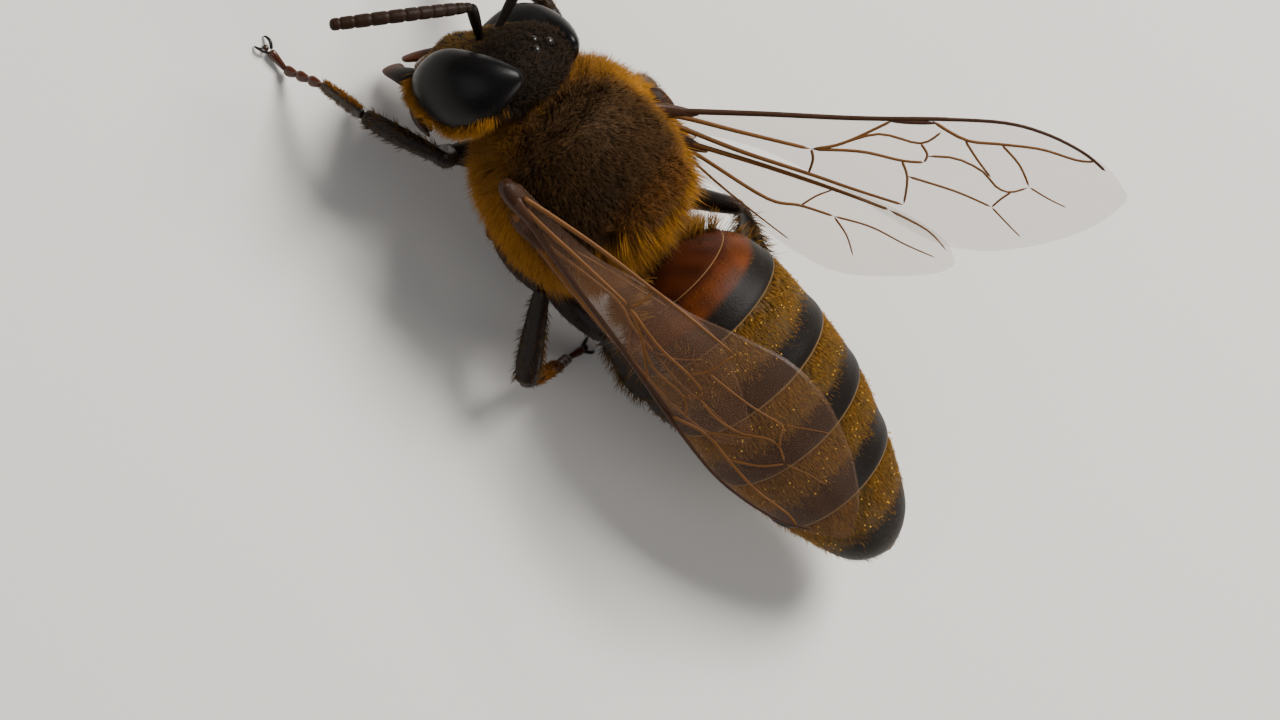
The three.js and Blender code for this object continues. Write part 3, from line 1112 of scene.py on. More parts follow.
# ---- head
@dataclass(frozen=True)
class HeadPlan:
    """Where the head sits and how it is turned.

    Attributes:
        x: Its place to the left.
        y: Its place back along the body.
        z: Its place above the wing level.
        pitch: Its turn about its left-right axis.
        roll: Its turn about the body's axis.
        yaw: Its turn about the upright.
    """

    x: float = 0.06
    y: float = -2.64
    z: float = -0.32
    pitch: float = -0.1
    roll: float = -0.36
    yaw: float = -0.36

    def turn(self) -> Array:
        """The rotation from the head's axes to the bee's.

        Returns:
            Its matrix.
        """
        angles = ((self.yaw, "Z"), (self.roll, "Y"), (self.pitch, "X"))
        yaw, roll, pitch = (Matrix.Rotation(angle, 3, axis) for angle, axis in angles)
        return np.array(yaw @ roll @ pitch)

    def place(self, *points: Sequence) -> tuple[Point, ...]:
        """Points in the head's axes as points in the bee's."""
        moved = np.asarray(points, float) @ self.turn().T + (self.x, self.y, BODY_HEIGHT + self.z)
        return tuple(map(tuple, moved))

    def way(self, *way: float) -> Array:
        """A direction in the head's axes as one in the bee's."""
        return self.turn() @ np.asarray(way, float)

    def local(self, points: Array) -> Array:
        """Points in the bee's axes as points in the head's."""
        return (points - (self.x, self.y, BODY_HEIGHT + self.z)) @ self.turn()


PLAN = HeadPlan()


@dataclass(frozen=True)
class Head:
    """The head: capsule, face plates, simple eyes, compound eyes, jaws, tongue and feelers.

    Attributes:
        ocelli: Middles of the simple eyes, in the head's axes.
        left_feeler: Elbow, middle and tip of the left feeler, in the head's axes.
        right_feeler: Those of the right feeler.
        rings: A feeler's knuckle and its ten rings.
        sheath: Half the thickness of the tongue's sheath.
    """

    ocelli: tuple[Point, ...] = ((0.0, -0.5, 1.1), (0.24, -0.36, 1.26), (-0.24, -0.36, 1.26))
    left_feeler: tuple[Point, ...] = ((1.04, -1.62, 0.7), (2.19, -1.96, 0.12), (3.37, -2.31, -0.95))
    right_feeler: tuple[Point, ...] = ((-0.86, -1.68, 0.82), (-1.8, -2.4, 0.5), (-2.75, -3.05, -0.45))
    rings: int = 11
    sheath: float = 0.13

    def skin(self) -> Surface:
        """The capsule, with the face shield, the brow between the feelers and the lip.

        Returns:
            Its shape.
        """
        body = Loft(
            path=PLAN.place((0, -0.12, -1.66), (0, 0, 1.38)),
            width=(0.6, 0.78, 1.04, 1.24, 1.38, 1.4, 1.28, 1.0, 0.6),
            over=(0.3, 0.42, 0.54, 0.64, 0.7, 0.72, 0.68, 0.55, 0.3),
            under=(0.3, 0.44, 0.6, 0.72, 0.77, 0.75, 0.68, 0.52, 0.28),
            up=tuple(PLAN.way(0, 1, 0)),
            caps=(0.1, 0.14),
        )
        shield = Swell(PLAN.place((0, -0.42, -0.72))[0], (0.58, 0.46, 0.56), PLAN.turn(), 0.06)
        brow = Swell(PLAN.place((0, -0.5, 0.05))[0], (0.26, 0.4, 0.36), PLAN.turn(), 0.12)
        return Sculpted(body, (shield, brow), self.relief)

    @staticmethod
    def relief(u: Array, v: Array, points: Array) -> Array:
        """The seam round the face shield, and the hollows that hold the feelers.

        Args:
            u: Not used.
            v: Not used.
            points: Points there.

        Returns:
            How far out each point is moved.
        """
        x, y, z = PLAN.local(points).T
        face = rise(-y, 0.2, 0.5)
        ring = np.hypot(x / 0.62, (z + 0.72) / 0.6)
        seam = -0.035 * bell(ring, 1.0, 0.06) * face
        socket = sum(bell(np.hypot(x - s * 0.27, z - 0.1), 0, 0.13) for s in (1, -1))
        ridge = -0.03 * bell(x, 0, 0.03) * rise(z, 0.2, 0.4) * face
        return seam - 0.09 * socket * face + ridge

    @staticmethod
    def shell_hue(u: Array, v: Array, points: Array) -> Array:
        """Black shell, a little browner at the lip and dull gold under the hair behind.

        Args:
            u: Not used.
            v: Not used.
            points: Points there.

        Returns:
            One colour for each.
        """
        _, y, z = PLAN.local(points).T
        base = mixed(INK.black, INK.brown, 0.7 * rise(-z, 1.0, 1.6))
        return mixed(base, np.multiply(INK.gold, 0.4), rise(y, 0.1, 0.35) * rise(-z, -0.5, 0.1))

    @staticmethod
    def hair_hue(u: Array, v: Array, points: Array) -> Array:
        """Pale on the face, dark on the crown and gold behind.

        Args:
            u: Not used.
            v: Not used.
            points: Points there.

        Returns:
            One colour for each.
        """
        _, y, z = PLAN.local(points).T
        base = mixed(INK.tan, INK.dark_and_shade, rise(z, -0.2, 0.5))
        base = mixed(base, INK.gold, rise(y, 0.05, 0.3) * rise(-z, -0.5, 0.1))
        return base * (1 + 0.15 * wobble(points, 0.6, 7))[:, None]

    def build(self, kit: Kit) -> None:
        """Makes the whole head.

        Args:
            kit: The materials.
        """
        skin = self.skin()
        shape = Shape("head_capsule")
        shape.wrap(skin, 84, 88, self.shell_hue)
        for place in PLAN.place(*self.ocelli):
            shape.ball(place, (0.1, 0.1, 0.1), INK.black, 1)
        neck = tube((PLAN.place((0, 0.3, -0.1))[0], (0, -1.4, BODY_HEIGHT - 0.5)), (0.42, 0.36, 0.45))
        shape.wrap(neck, 10, 24, INK.black)
        lip = Loft(
            PLAN.place((0, -0.42, -1.3), (0, -0.44, -1.72)),
            (0.36, 0.38, 0.3),
            (0.1, 0.12, 0.08),
            up=tuple(PLAN.way(0, -1, 0)),
            caps=(0.3, 0.4),
        )
        shape.wrap(lip, 12, 24, INK.brown, 1)
        shape.finish([kit.skin, kit.gloss], ["head"], Slot.BLACK)
        self.coat(kit, skin)
        for side in (1, -1):
            self.eye(kit, side)
            self.feeler(kit, side)
            self.jaw(kit, side)
        self.tongue(kit)

    @staticmethod
    def on_face(u: Array, v: Array, points: Array, normals: Array) -> Array:
        """Where the face is, thinly on the shield.

        Args:
            u: Not used.
            v: Not used.
            points: Points there.
            normals: Not used.

        Returns:
            The density at each place.
        """
        x, y, z = PLAN.local(points).T
        bare = np.hypot(x / 0.4, (z + 0.75) / 0.42)
        near = rise(-y, 0.2, 0.4) * rise(1.25 - np.abs(x), 0, 0.1) * rise(-z, -0.9, -0.5)
        return near * (0.25 + 0.75 * rise(bare, 0.8, 1.2))

    @staticmethod
    def on_crown(u: Array, v: Array, points: Array, normals: Array) -> Array:
        """Where the top of the head is, between the eyes."""
        x, _, z = PLAN.local(points).T
        return rise(z, 0.35, 0.7) * rise(1.15 - np.abs(x), 0, 0.1)

    @staticmethod
    def on_back(u: Array, v: Array, points: Array, normals: Array) -> Array:
        """Where the head faces the thorax, more so behind the eyes.

        Args:
            u: Not used.
            v: Not used.
            points: Points there.
            normals: Not used.

        Returns:
            The density at each place.
        """
        x, y, z = PLAN.local(points).T
        outer = 0.25 + 0.75 * rise(np.abs(x), 0.5, 1.0)
        return rise(y, 0.05, 0.25) * rise(-z, -0.9, -0.6) * outer * rise(-z, -1.1, -0.7)

    @staticmethod
    def behind_eye(u: Array, v: Array, points: Array, normals: Array) -> Array:
        """Where an eye turns back, short of its top."""
        return rise(normals @ PLAN.way(0, 1, 0), 0.6, 0.85) * rise(-PLAN.local(points)[:, 2], -0.9, 0.0)

    @staticmethod
    def below_eye(u: Array, v: Array, points: Array, normals: Array) -> Array:
        """Where an eye turns down."""
        return rise(normals @ PLAN.way(0, 0.25, -0.97), 0.55, 0.8)

    @staticmethod
    def backward(points: Array, normals: Array) -> Array:
        """A coat that stands up and leans back."""
        return normals + PLAN.way(0, 1, -0.4) * 0.3

    def coat(self, kit: Kit, skin: Surface) -> None:
        """Grows the short hair of face and crown, and the longer hair behind and under the eyes.

        Args:
            kit: The materials.
            skin: The capsule.
        """
        face = Hair(0.15, 0.012, lean=0.55, spread=0.3, strands=3, clump=0.03)
        crown = Hair(0.2, 0.012, lean=0.35, spread=0.3, strands=3, curl=0.25, clump=0.03)
        cheek = Hair(0.4, 0.013, lean=0.5, spread=0.2, strands=3, curl=0.3, clump=0.04)
        behind = Hair(0.42, 0.014, lean=0.35, spread=0.25, strands=3, curl=0.3)
        down, up = toward(*PLAN.way(0, 0, -1)), toward(*PLAN.way(0, -0.4, 1))
        fields = [grow(skin, 9500, face, down, self.hair_hue, self.on_face, seed=11)]
        coat_piece("coat_face", fields, kit.hair, ["head"])
        fields = [
            grow(skin, 5000, crown, up, self.hair_hue, self.on_crown, seed=12),
            grow(skin, 6300, behind, self.backward, self.hair_hue, self.on_back, seed=13),
        ]
        for side in (1, -1):
            eye, gold = self.eye_shape(side), plain(INK.gold)
            back = toward(*PLAN.way(side * 0.3, 0.8, -0.4))
            out_down = toward(*PLAN.way(side * 0.5, 0.3, -0.8))
            fields.append(grow(eye, 1500, cheek, back, gold, self.behind_eye, seed=15 + side))
            fields.append(grow(eye, 900, cheek, out_down, gold, self.below_eye, seed=17 + side))
        coat_piece("coat_head", fields, kit.hair, ["head"])

    @staticmethod
    def eye_shape(side: int) -> Loft:
        """One compound eye.

        Args:
            side: 1 for the left and -1 for the right.

        Returns:
            Its shape.
        """
        path = (
            (side * 0.98, -0.06, 1.32),
            (side * 1.34, -0.1, 0.35),
            (side * 1.28, -0.16, -0.4),
            (side * 1.0, -0.22, -1.25),
        )
        return Loft(
            PLAN.place(*path),
            (0.28, 0.44, 0.49, 0.49, 0.42, 0.22),
            (0.36, 0.63, 0.8, 0.8, 0.6, 0.3),
            up=tuple(PLAN.way(0, 1, 0)),
            caps=(0.34, 0.34),
        )

    def eye(self, kit: Kit, side: int) -> None:
        """Makes a compound eye and the sparse hair between its lenses.

        Args:
            kit: The materials.
            side: 1 for the left and -1 for the right.
        """
        label = LABELS[side]
        lens = self.eye_shape(side)
        shape = Shape(f"eye_{label}_lens")
        shape.wrap(lens, 60, 64, INK.black)
        shape.finish([kit.eye], [f"eye_{label}"], Slot.EYE)
        fuzz = Hair(0.07, 0.006, lean=0.1, spread=0.15, strands=1, clump=0, curl=0.1)
        down = toward(*PLAN.way(0, 0, -1))

        def outer(u: Array, v: Array, points: Array, normals: Array) -> Array:
            """Where the eye faces away from the head."""
            return rise(side * (normals @ PLAN.way(1, 0, 0)), -0.3, 0.1)

        fields = [grow(lens, 700, fuzz, down, plain(INK.disc), outer, seed=20 + side)]
        coat_piece(f"coat_eye_{label}", fields, kit.hair, [f"eye_{label}"])

    def ringed(self, u: Array, v: Array, points: Array) -> Array:
        """The grooves between a feeler's rings."""
        ring = u * self.rings
        return -0.022 * bell((ring + 0.5) % 1, 0.5, 0.09) * rise(u, 0.03, 0.06) * rise(1 - u, 0.03, 0.06)

    @staticmethod
    def ring_hue(u: Array, v: Array, points: Array) -> Array:
        """A feeler's black, browner toward its tip."""
        return mixed(INK.black, INK.brown, 0.25 + 0.25 * u)

    def feeler(self, kit: Kit, side: int) -> None:
        """Makes a feeler: a long first joint, a knuckle and ten rings.

        Args:
            kit: The materials.
            side: 1 for the left and -1 for the right.
        """
        label = LABELS[side]
        track = self.left_feeler if side > 0 else self.right_feeler
        base, elbow, middle, tip = PLAN.place((side * 0.27, -0.72, 0.08), *track)
        scape = Shape(f"antenna_{label}_first_joint")
        first = tube((base, elbow), (0.1, 0.085, 0.1, 0.115, 0.12, 0.1), caps=(0.05, 0.06))
        scape.wrap(first, 30, 20, INK.black)
        scape.ball(base, (0.13, 0.13, 0.13), INK.black)
        scape.finish([kit.plate], [f"antenna_{label}_scape"], Slot.BLACK)
        radii = (0.09, 0.115, 0.13, 0.132, 0.135, 0.135, 0.135, 0.13, 0.12)
        whip = Sculpted(tube((elbow, middle, tip), radii, caps=(0.03, 0.045)), (), self.ringed)
        rings = Shape(f"antenna_{label}_rings")
        rings.wrap(whip, 132, 20, self.ring_hue, ease=False)
        rings.finish([kit.plate], [f"antenna_{label}_flagellum"], Slot.BLACK)

    def jaw(self, kit: Kit, side: int) -> None:
        """Makes a jaw: stout at its hinge and spooned at its tip.

        Args:
            kit: The materials.
            side: 1 for the left and -1 for the right.
        """
        label = LABELS[side]
        blade = Loft(
            PLAN.place((side * 0.66, -0.25, -1.38), (side * 0.54, -0.42, -1.88), (side * 0.2, -0.5, -2.26)),
            (0.2, 0.24, 0.2, 0.22, 0.2),
            (0.2, 0.19, 0.13, 0.09, 0.05),
            up=tuple(PLAN.way(0, -1, 0)),
            caps=(0.15, 0.12),
        )
        shape = Shape(f"jaw_{label}")
        shape.wrap(blade, 32, 28, lambda u, v, points: mixed(INK.black, INK.red_brown, rise(u, 0.3, 0.9)))
        shape.finish([kit.plate], [f"mandible_{label}"], Slot.AMBER)

    def tongue(self, kit: Kit) -> None:
        """Makes the folded tongue between the two halves of its sheath.

        Args:
            kit: The materials.
        """
        shape = Shape("tongue_sheath")
        radii = tuple(self.sheath * share for share in (1, 1.15, 1, 0.8, 0.45))
        for x in (0.1, -0.1):
            path = PLAN.place((x, 0.1, -1.5), (x, 0.28, -1.98), (x, 0.64, -2.1), (x * 0.6, 1.0, -2.0))
            shape.wrap(tube(path, radii, up=(0, 1, 1), caps=(0.08, 0.12)), 32, 20, INK.brown)
        centre = PLAN.place((0, 0.18, -1.6), (0, 0.36, -2.1), (0, 0.68, -2.2), (0, 1.08, -2.04))
        shape.wrap(tube(centre, (0.1, 0.1, 0.07, 0.04), up=(0, 1, 1)), 28, 16, INK.red_brown)
        shape.finish([kit.gloss], ["tongue"], Slot.TONGUE)


# ---- abdomen
@dataclass(frozen=True)
class Spine(Surface):
    """The abdomen's outline along its spine.

    Attributes:
        inset: How far inside the solids it lies, in mm.
    """

    inset: float = 0.12

    KNOTS = (
        (0, 2.27, BODY_HEIGHT - 0.4),
        (0, 5.1, BODY_HEIGHT - 0.35),
        (0, 8.2, BODY_HEIGHT - 0.95),
        (-0.25, 11.0, BODY_HEIGHT - 1.45),
    )
    WIDTH = (0.35, 1.6, 1.9, 1.98, 2.02, 2.0, 1.87, 1.66, 1.38, 1.0, 0.2)
    OVER = (0.35, 1.42, 1.72, 1.8, 1.8, 1.76, 1.62, 1.42, 1.16, 0.82, 0.18)
    UNDER = (0.35, 1.3, 1.58, 1.66, 1.66, 1.6, 1.48, 1.28, 1.04, 0.74, 0.16)
    LEAST = 0.02  # least half size

    def middle(self, u: Array) -> Array:
        """The points of the spine.

        Args:
            u: Places along it.

        Returns:
            One point for each.
        """
        t = u[:, None]
        a, b, c, d = (np.asarray(knot, float) for knot in self.KNOTS)
        return a * (1 - t) ** 3 + 3 * b * t * (1 - t) ** 2 + 3 * c * t * t * (1 - t) + d * t**3

    def section(self, u: Array, v: Array, grow: Array | float = 0.0) -> Array:
        """Points of the outline.

        Args:
            u: Places along it.
            v: Places round it.
            grow: How much larger it is there.

        Returns:
            One point for each.
        """
        turn = 2 * math.pi * v
        along = self.heading(u)
        side = unit(np.cross(np.array((0.0, 0.0, 1.0)), along))
        above = np.cross(along, side)
        size = grow - self.inset
        wide = np.maximum(through(self.WIDTH, u) + size, self.LEAST)
        high = np.where(np.sin(turn) > 0, through(self.OVER, u), through(self.UNDER, u)) + size
        high = np.maximum(high, self.LEAST)
        return self.middle(u) + side * (np.cos(turn) * wide)[:, None] + above * (np.sin(turn) * high)[:, None]

    def point(self, u: Array, v: Array) -> Array:
        """Points on the surface."""
        return self.section(u, v)


@dataclass(frozen=True)
class Plate(Surface):
    """One ring of the abdomen: its back plate laps over the next ring and over its own belly plate.

    Attributes:
        spine: The outline, over the whole abdomen.
        start: Where it comes out from under the ring before.
        end: Where its rim ends.
        tip: Whether it is the last one, which closes in a point.
        base: Whether it is the first one, which closes at the waist.
    """

    spine: Spine
    start: float
    end: float
    tip: bool = False
    base: bool = False

    TUCK = 0.035  # how far it reaches in under the ring before, as a share of the spine
    FOLD = 0.03  # how far its rim folds back inside, as a share of the spine
    STEP = 0.085  # how far its rim stands over the next ring
    LAP = 0.07  # how far its back plate stands over its belly plate
    EDGE = -0.42  # sine of the turn where the back plate ends
    OPENING = 0.06  # share of its length in which its front end opens
    RIM = 0.9  # share of its length at which its rim starts to fold

    def middle(self, u: Array) -> Array:
        """The points of its axis."""
        return self.spine.middle(self.place(u))

    def place(self, u: Array) -> Array:
        """The place on the spine: out along the plate, then back inside its rim.

        Args:
            u: Places along it.

        Returns:
            A place on the spine for each.
        """
        first = self.start - (0 if self.base else self.TUCK)
        outer = 1.0 if self.tip else self.RIM
        out = first + (self.end - first) * np.clip((u - self.OPENING) / (outer - self.OPENING), 0, 1)
        return out if self.tip else out - self.FOLD * rise(u, 0.92, 1.0)

    def lift(self, f: Array, v: Array) -> Array:
        """How far the plate stands out from the spine's outline.

        Args:
            f: Shares of the way from its start to its end.
            v: Places round it.

        Returns:
            A height in mm for each.
        """
        tucked = -self.STEP - 0.05 * np.clip(-f * 6, 0, 1)
        shown = -self.STEP * (1 - np.clip(f, 0, 1)) ** 1.6
        height = np.where(f < 0, tucked, shown)
        height = height * (1 - f.clip(0, 1)) if self.tip else height + 0.02 * bell(f, 0.9, 0.12)
        belly = rise(-np.sin(2 * math.pi * v), -self.EDGE - 0.03, -self.EDGE + 0.03)
        return height - self.LAP * belly * rise(f, -0.1, 0.2)

    def point(self, u: Array, v: Array) -> Array:
        """Points on the surface.

        Args:
            u: Places along it.
            v: Places round it.

        Returns:
            One point for each.
        """
        t = self.place(u)
        made = self.spine.section(t, v, self.lift((t - self.start) / (self.end - self.start), v))
        centre = self.spine.middle(t)
        opened = rounded(u, 0.12) if self.base else rise(u, -0.001, self.OPENING)
        if self.tip:
            closed = rounded(1 - u, 0.16)
        else:
            closed = 1 - 0.05 * rise(u, self.RIM, 0.93) - 0.95 * rise(u, 0.93, 1.0)
        return centre + (made - centre) * np.minimum(opened, closed)[:, None]


@dataclass(frozen=True)
class Abdomen:
    """Six rings with lapping rims, bands of felt, and fringes along the belly.

    Attributes:
        cuts: Where each ring starts on the spine, and where the last one ends.
        tip: Where the last plate closes.
        spine: What the plates are shaped on.
        skin: What the hair grows on.
        nodes: The frame's nodes that the rings stand for.
        stripes: Of each ring: its front colour, its next colour, where that starts, where the black starts.
        felted: How much of each ring the felt covers.
        sparse: How dense the sparse hair is on each ring.
        grains: Pollen grains.
    """

    cuts: tuple[float, ...] = (0.0, 0.085, 0.205, 0.38, 0.54, 0.715, 1.0)
    tip: float = 0.975
    spine: Spine = Spine()
    skin: Spine = Spine(inset=0.16)
    nodes: tuple[str, ...] = tuple(f"abdomen_segment_{number}" for number in range(1, 7))
    stripes: tuple[tuple[Colour, Colour, float, float], ...] = (
        (INK.black, INK.red_brown, 0.3, 1.0),
        (INK.red_brown, INK.amber, 0.12, 0.42),
        (INK.felt, INK.felt, 0.3, 0.5),
        (INK.felt, INK.felt, 0.3, 0.46),
        (INK.felt, INK.felt, 0.3, 0.43),
        (INK.felt, INK.felt, 0.3, 0.33),
    )
    felted: tuple[float, ...] = (0, 0, 0.68, 0.62, 0.6, 0.5)
    sparse: tuple[float, ...] = (0, 0.2, 1, 1, 1, 1)
    grains: int = 230
    quick_grains: int = 60

    def share_of(self, points: Array) -> Array:
        """How far along the spine the points lie.

        Args:
            points: The points, in the bee's axes.

        Returns:
            A share from 0 to 1 for each.
        """
        steps = np.linspace(0, 1, 400)
        track = self.spine.middle(steps)
        along = unit(np.gradient(track, axis=0))
        found = np.zeros(len(points))
        batch = 4000
        for start in range(0, len(points), batch):
            gap = points[start : start + batch, None, :] - track[None]
            found[start : start + batch] = steps[np.abs((gap * along[None]).sum(-1)).argmin(1)]
        return found

    def ring_of(self, points: Array) -> tuple[Array, Array]:
        """Which ring each point is on, and how far along it.

        Args:
            points: The points, in the bee's axes.

        Returns:
            The rings from 0 to 5, and shares from 0 to 1.
        """
        t = self.share_of(points)
        cuts = np.array(self.cuts)
        ring = np.clip(np.searchsorted(cuts, t, side="right") - 1, 0, 5)
        return ring, (t - cuts[ring]) / (cuts[ring + 1] - cuts[ring])

    def shell_hue(self, ring: int, u: Array, v: Array, points: Array) -> Array:
        """A plate's colours: its front colour, its next colour, then black, with a pale rim.

        Args:
            ring: Which ring it is, from 0.
            u: Places along it.
            v: Not used.
            points: Points there.

        Returns:
            One colour for each.
        """
        t = self.share_of(points)
        f = (t - self.cuts[ring]) / (self.cuts[ring + 1] - self.cuts[ring])
        f = f + 0.05 * wobble(points, 1.2, ring)
        front, middle, middle_from, black_from = self.stripes[ring]
        base = mixed(front, middle, rise(f, middle_from - 0.1, middle_from + 0.1))
        base = base * (0.85 + 0.4 * wobble(points, 0.6, 50 + ring))[:, None]
        base = mixed(base, INK.black, rise(f, black_from, black_from + 0.14))
        belly = rise(self.spine.middle(t)[:, 2] - points[:, 2], 0.5, 0.9)
        base = mixed(base, INK.red_brown, belly * 0.5)
        return mixed(base, INK.rim, 0.8 * rise(u, 0.885, 0.895) * (ring < 5))

    @staticmethod
    def hair_hue(u: Array, v: Array, points: Array) -> Array:
        """Golden tan felt, greyer toward the belly."""
        base = mixed(INK.tan, INK.gold, 0.4 + 0.4 * wobble(points, 0.8, 30))
        return mixed(base, INK.pale, 0.5 * rise(-points[:, 2], 0.2 - BODY_HEIGHT, 1.2 - BODY_HEIGHT))

    def build(self, kit: Kit) -> None:
        """Makes the rings and their coat.

        Args:
            kit: The materials.
        """
        last = len(self.nodes) - 1
        for ring, node in enumerate(self.nodes):
            start, end = self.cuts[ring : ring + 2]
            plate = Plate(self.spine, start, min(end, self.tip), tip=ring == last, base=ring == 0)
            shape = Shape(f"abdomen_ring_{ring + 1}")
            shape.wrap(plate, 64, 112, partial(self.shell_hue, ring), ease=False)
            if ring == 0:
                waist = tube(((0, 1.75, BODY_HEIGHT - 0.5), (0, 2.7, BODY_HEIGHT - 0.42)), (0.3, 0.26, 0.34))
                shape.wrap(waist, 10, 24, INK.red_brown)
            shape.finish([kit.plate], [node], Slot.AMBER if ring < 2 else Slot.BANDED)
        self.coat(kit)

    def banded(self, u: Array, v: Array, points: Array, normals: Array) -> Array:
        """Where the felt is: the front of rings three to six.

        Args:
            u: Not used.
            v: Not used.
            points: Points there.
            normals: Outward directions there.

        Returns:
            The density at each place.
        """
        ring, f = self.ring_of(points)
        stretch = np.array(self.felted)[ring] + 0.05 * wobble(points, 0.7, 40)
        front = (ring >= 2) * rise(stretch - f, 0.0, 0.26) * rise(f, 0.0, 0.04)
        return front * rise(normals[:, 2], -0.5, -0.1)

    def between(self, u: Array, v: Array, points: Array, normals: Array) -> Array:
        """Where the sparse hair is: all over the back but for the rims.

        Args:
            u: Places along it.
            v: Not used.
            points: Points there.
            normals: Outward directions there.

        Returns:
            The density at each place.
        """
        ring, f = self.ring_of(points)
        upper = np.array(self.sparse)[ring] * rise(normals[:, 2], -0.45, -0.1)
        return upper * rise(-f, -0.95, -0.85) * rise(-u, -0.97, -0.93)

    def foremost(self, u: Array, v: Array, points: Array, normals: Array) -> Array:
        """Where the long hair is: the first ring's sides, and a little at those of the second.

        Args:
            u: Places along it.
            v: Not used.
            points: Points there.
            normals: Outward directions there.

        Returns:
            The density at each place.
        """
        ring, _ = self.ring_of(points)
        sides = (ring == 0) * rise(u, 0.02, 0.04) * (0.004 + rise(-normals[:, 2], -0.35, 0.05))
        return sides + 0.02 * (ring == 1) * rise(np.abs(points[:, 0]), 1.1, 1.5)

    def beneath(self, u: Array, v: Array, points: Array, normals: Array) -> Array:
        """Where the fringes are: the belly, more so at the rear of each ring."""
        _, f = self.ring_of(points)
        return rise(-normals[:, 2], 0.05, 0.4) * (0.3 + 0.7 * rise(f, 0.4, 0.8)) * rise(-u, -0.97, -0.93)

    def coat(self, kit: Kit) -> None:
        """Grows the felt bands, the sparse hair between them, the first ring's long hair and the fringes.

        Args:
            kit: The materials.
        """
        back, hue = toward(0, 1, -0.15), self.hair_hue
        felt = Hair(0.2, 0.012, lean=0.76, spread=0.18, strands=3, curl=0.3)
        sparse = Hair(0.13, 0.01, lean=0.62, strands=1, curl=0.3, clump=0.0)
        long = Hair(0.62, 0.014, lean=0.25, spread=0.26, clump=0.06)
        fringe = Hair(0.3, 0.013, lean=0.72, strands=3)
        fields = [grow(self.skin, 19600, felt, back, hue, self.banded, seed=31)]
        coat_piece("coat_bands", fields, kit.hair, self.nodes[2:])
        fields = [
            grow(self.skin, 7000, sparse, back, hue, self.between, seed=32),
            grow(self.skin, 4500, long, back, hue, self.foremost, seed=33),
            grow(self.skin, 6500, fringe, toward(0, 1, 0), hue, self.beneath, seed=34),
        ]
        coat_piece("coat_abdomen", fields, kit.hair, self.nodes)
        self.pollen(kit)

    def pollen(self, kit: Kit) -> None:
        """Sprinkles pollen grains on the felt.

        Args:
            kit: The materials.
        """
        rng = np.random.default_rng(SEED + 60)
        count = self.grains
        u, v = scatter(self.skin, count, self.banded, rng)
        shape = Shape("pollen_grains")
        for at, out in zip(self.skin.point(u, v), self.skin.normal(u, v), strict=True):
            radius = rng.uniform(0.012, 0.02)
            made = bmesh.ops.create_icosphere(shape.bm, subdivisions=1, radius=radius)["verts"]
            bmesh.ops.translate(shape.bm, verts=made, vec=at + out * rng.uniform(0.04, 0.11))
            shape.dress(made, np.tile(INK.pollen, (len(made), 1)), 0)
        shape.finish([kit.pollen], self.nodes[2:], Slot.COAT)


# ---- wings
# The edges of the wings, as points along and across them.
FORE_LEADING = (
    *((-0.25, 0.16), (1.9, 0.14), (3.7, 0.15), (5.3, 0.09), (6.7, 0.13)),
    *((7.6, 0.34), (8.4, 0.71), (8.95, 1.05), (9.4, 1.62)),
)
FORE_TRAILING = (
    *((-0.25, 0.5), (1.8, 0.88), (3.6, 1.68), (4.8, 2.38), (5.7, 2.84)),
    *((6.6, 2.98), (7.4, 2.88), (8.2, 2.64), (8.9, 2.27), (9.4, 1.78)),
)
HIND_LEADING = ((-0.25, 0.08), (1.6, 0.05), (3.4, 0.06), (4.9, 0.17), (5.9, 0.45), (6.3, 0.84))
HIND_TRAILING = (
    *((-0.25, 0.42), (1.2, 0.92), (2.1, 1.3), (3.2, 1.68)),
    *((4.2, 1.82), (5.3, 1.52), (6.05, 1.18), (6.3, 0.92)),
)

# Veins of each wing as (thickness at the root, at the end, points along and across the wing).
FORE_VEINS = (
    (0.15, 0.08, ((-0.43, 0.25), (0.32, 0.2), (1.92, 0.18), (3.72, 0.19), (5.32, 0.14), (5.7, 0.13))),
    (0.09, 0.06, ((4.9, 0.15), (5.32, 0.14), (6.72, 0.16), (7.62, 0.36), (8.42, 0.73), (8.92, 1.14))),
    (0.1, 0.06, ((0.02, 0.27), (0.58, 0.35), (1.59, 0.57), (3.01, 0.86))),
    (0.06, 0.05, ((3.01, 0.86), (3.49, 0.75), (4.02, 0.51), (4.63, 0.17))),
    (0.05, 0.045, ((3.01, 0.86), (3.07, 1.09), (3.02, 1.45))),
    (0.06, 0.045, ((3.01, 0.86), (4, 0.86), (4.82, 1.02), (5.27, 1.04))),
    (0.05, 0.04, ((3.49, 0.75), (4.32, 0.49), (5.17, 0.65), (5.57, 0.39))),
    (0.045, 0.04, ((5.17, 0.65), (5.32, 0.87), (5.27, 1.04))),
    (0.06, 0.04, ((5.35, 0.17), (6.07, 0.55), (6.77, 0.61), (7.58, 0.69), (8.32, 0.91), (8.68, 0.93))),
    (0.045, 0.035, ((5.27, 0.91), (5.87, 0.93), (6.42, 1.17), (6.77, 1.53), (7.07, 1.63), (7.42, 1.51))),
    (0.045, 0.035, ((6.04, 0.55), (6.32, 0.94), (6.64, 1.33))),
    (0.045, 0.035, ((6.77, 0.61), (7.18, 1.04), (7.42, 1.51))),
    (0.035, 0.02, ((7.42, 1.51), (7.82, 1.75), (8.22, 1.94))),
    (0.04, 0.035, ((7.07, 1.63), (6.87, 1.79), (6.71, 1.97))),
    (0.035, 0.02, ((6.71, 1.97), (7.02, 2.29), (7.37, 2.64))),
    (0.045, 0.035, ((4.95, 1.35), (5.97, 1.65), (6.71, 1.97))),
    (0.045, 0.04, ((4.82, 1.02), (4.97, 1.39), (4.96, 2.01))),
    (0.1, 0.045, ((0.02, 0.39), (0.51, 0.59), (1.63, 1.01), (2.86, 1.39), (3.89, 1.71), (4.96, 2.01))),
    (0.03, 0.02, ((0.42, 0.61), (1.42, 0.91), (2.62, 1.33))),
)
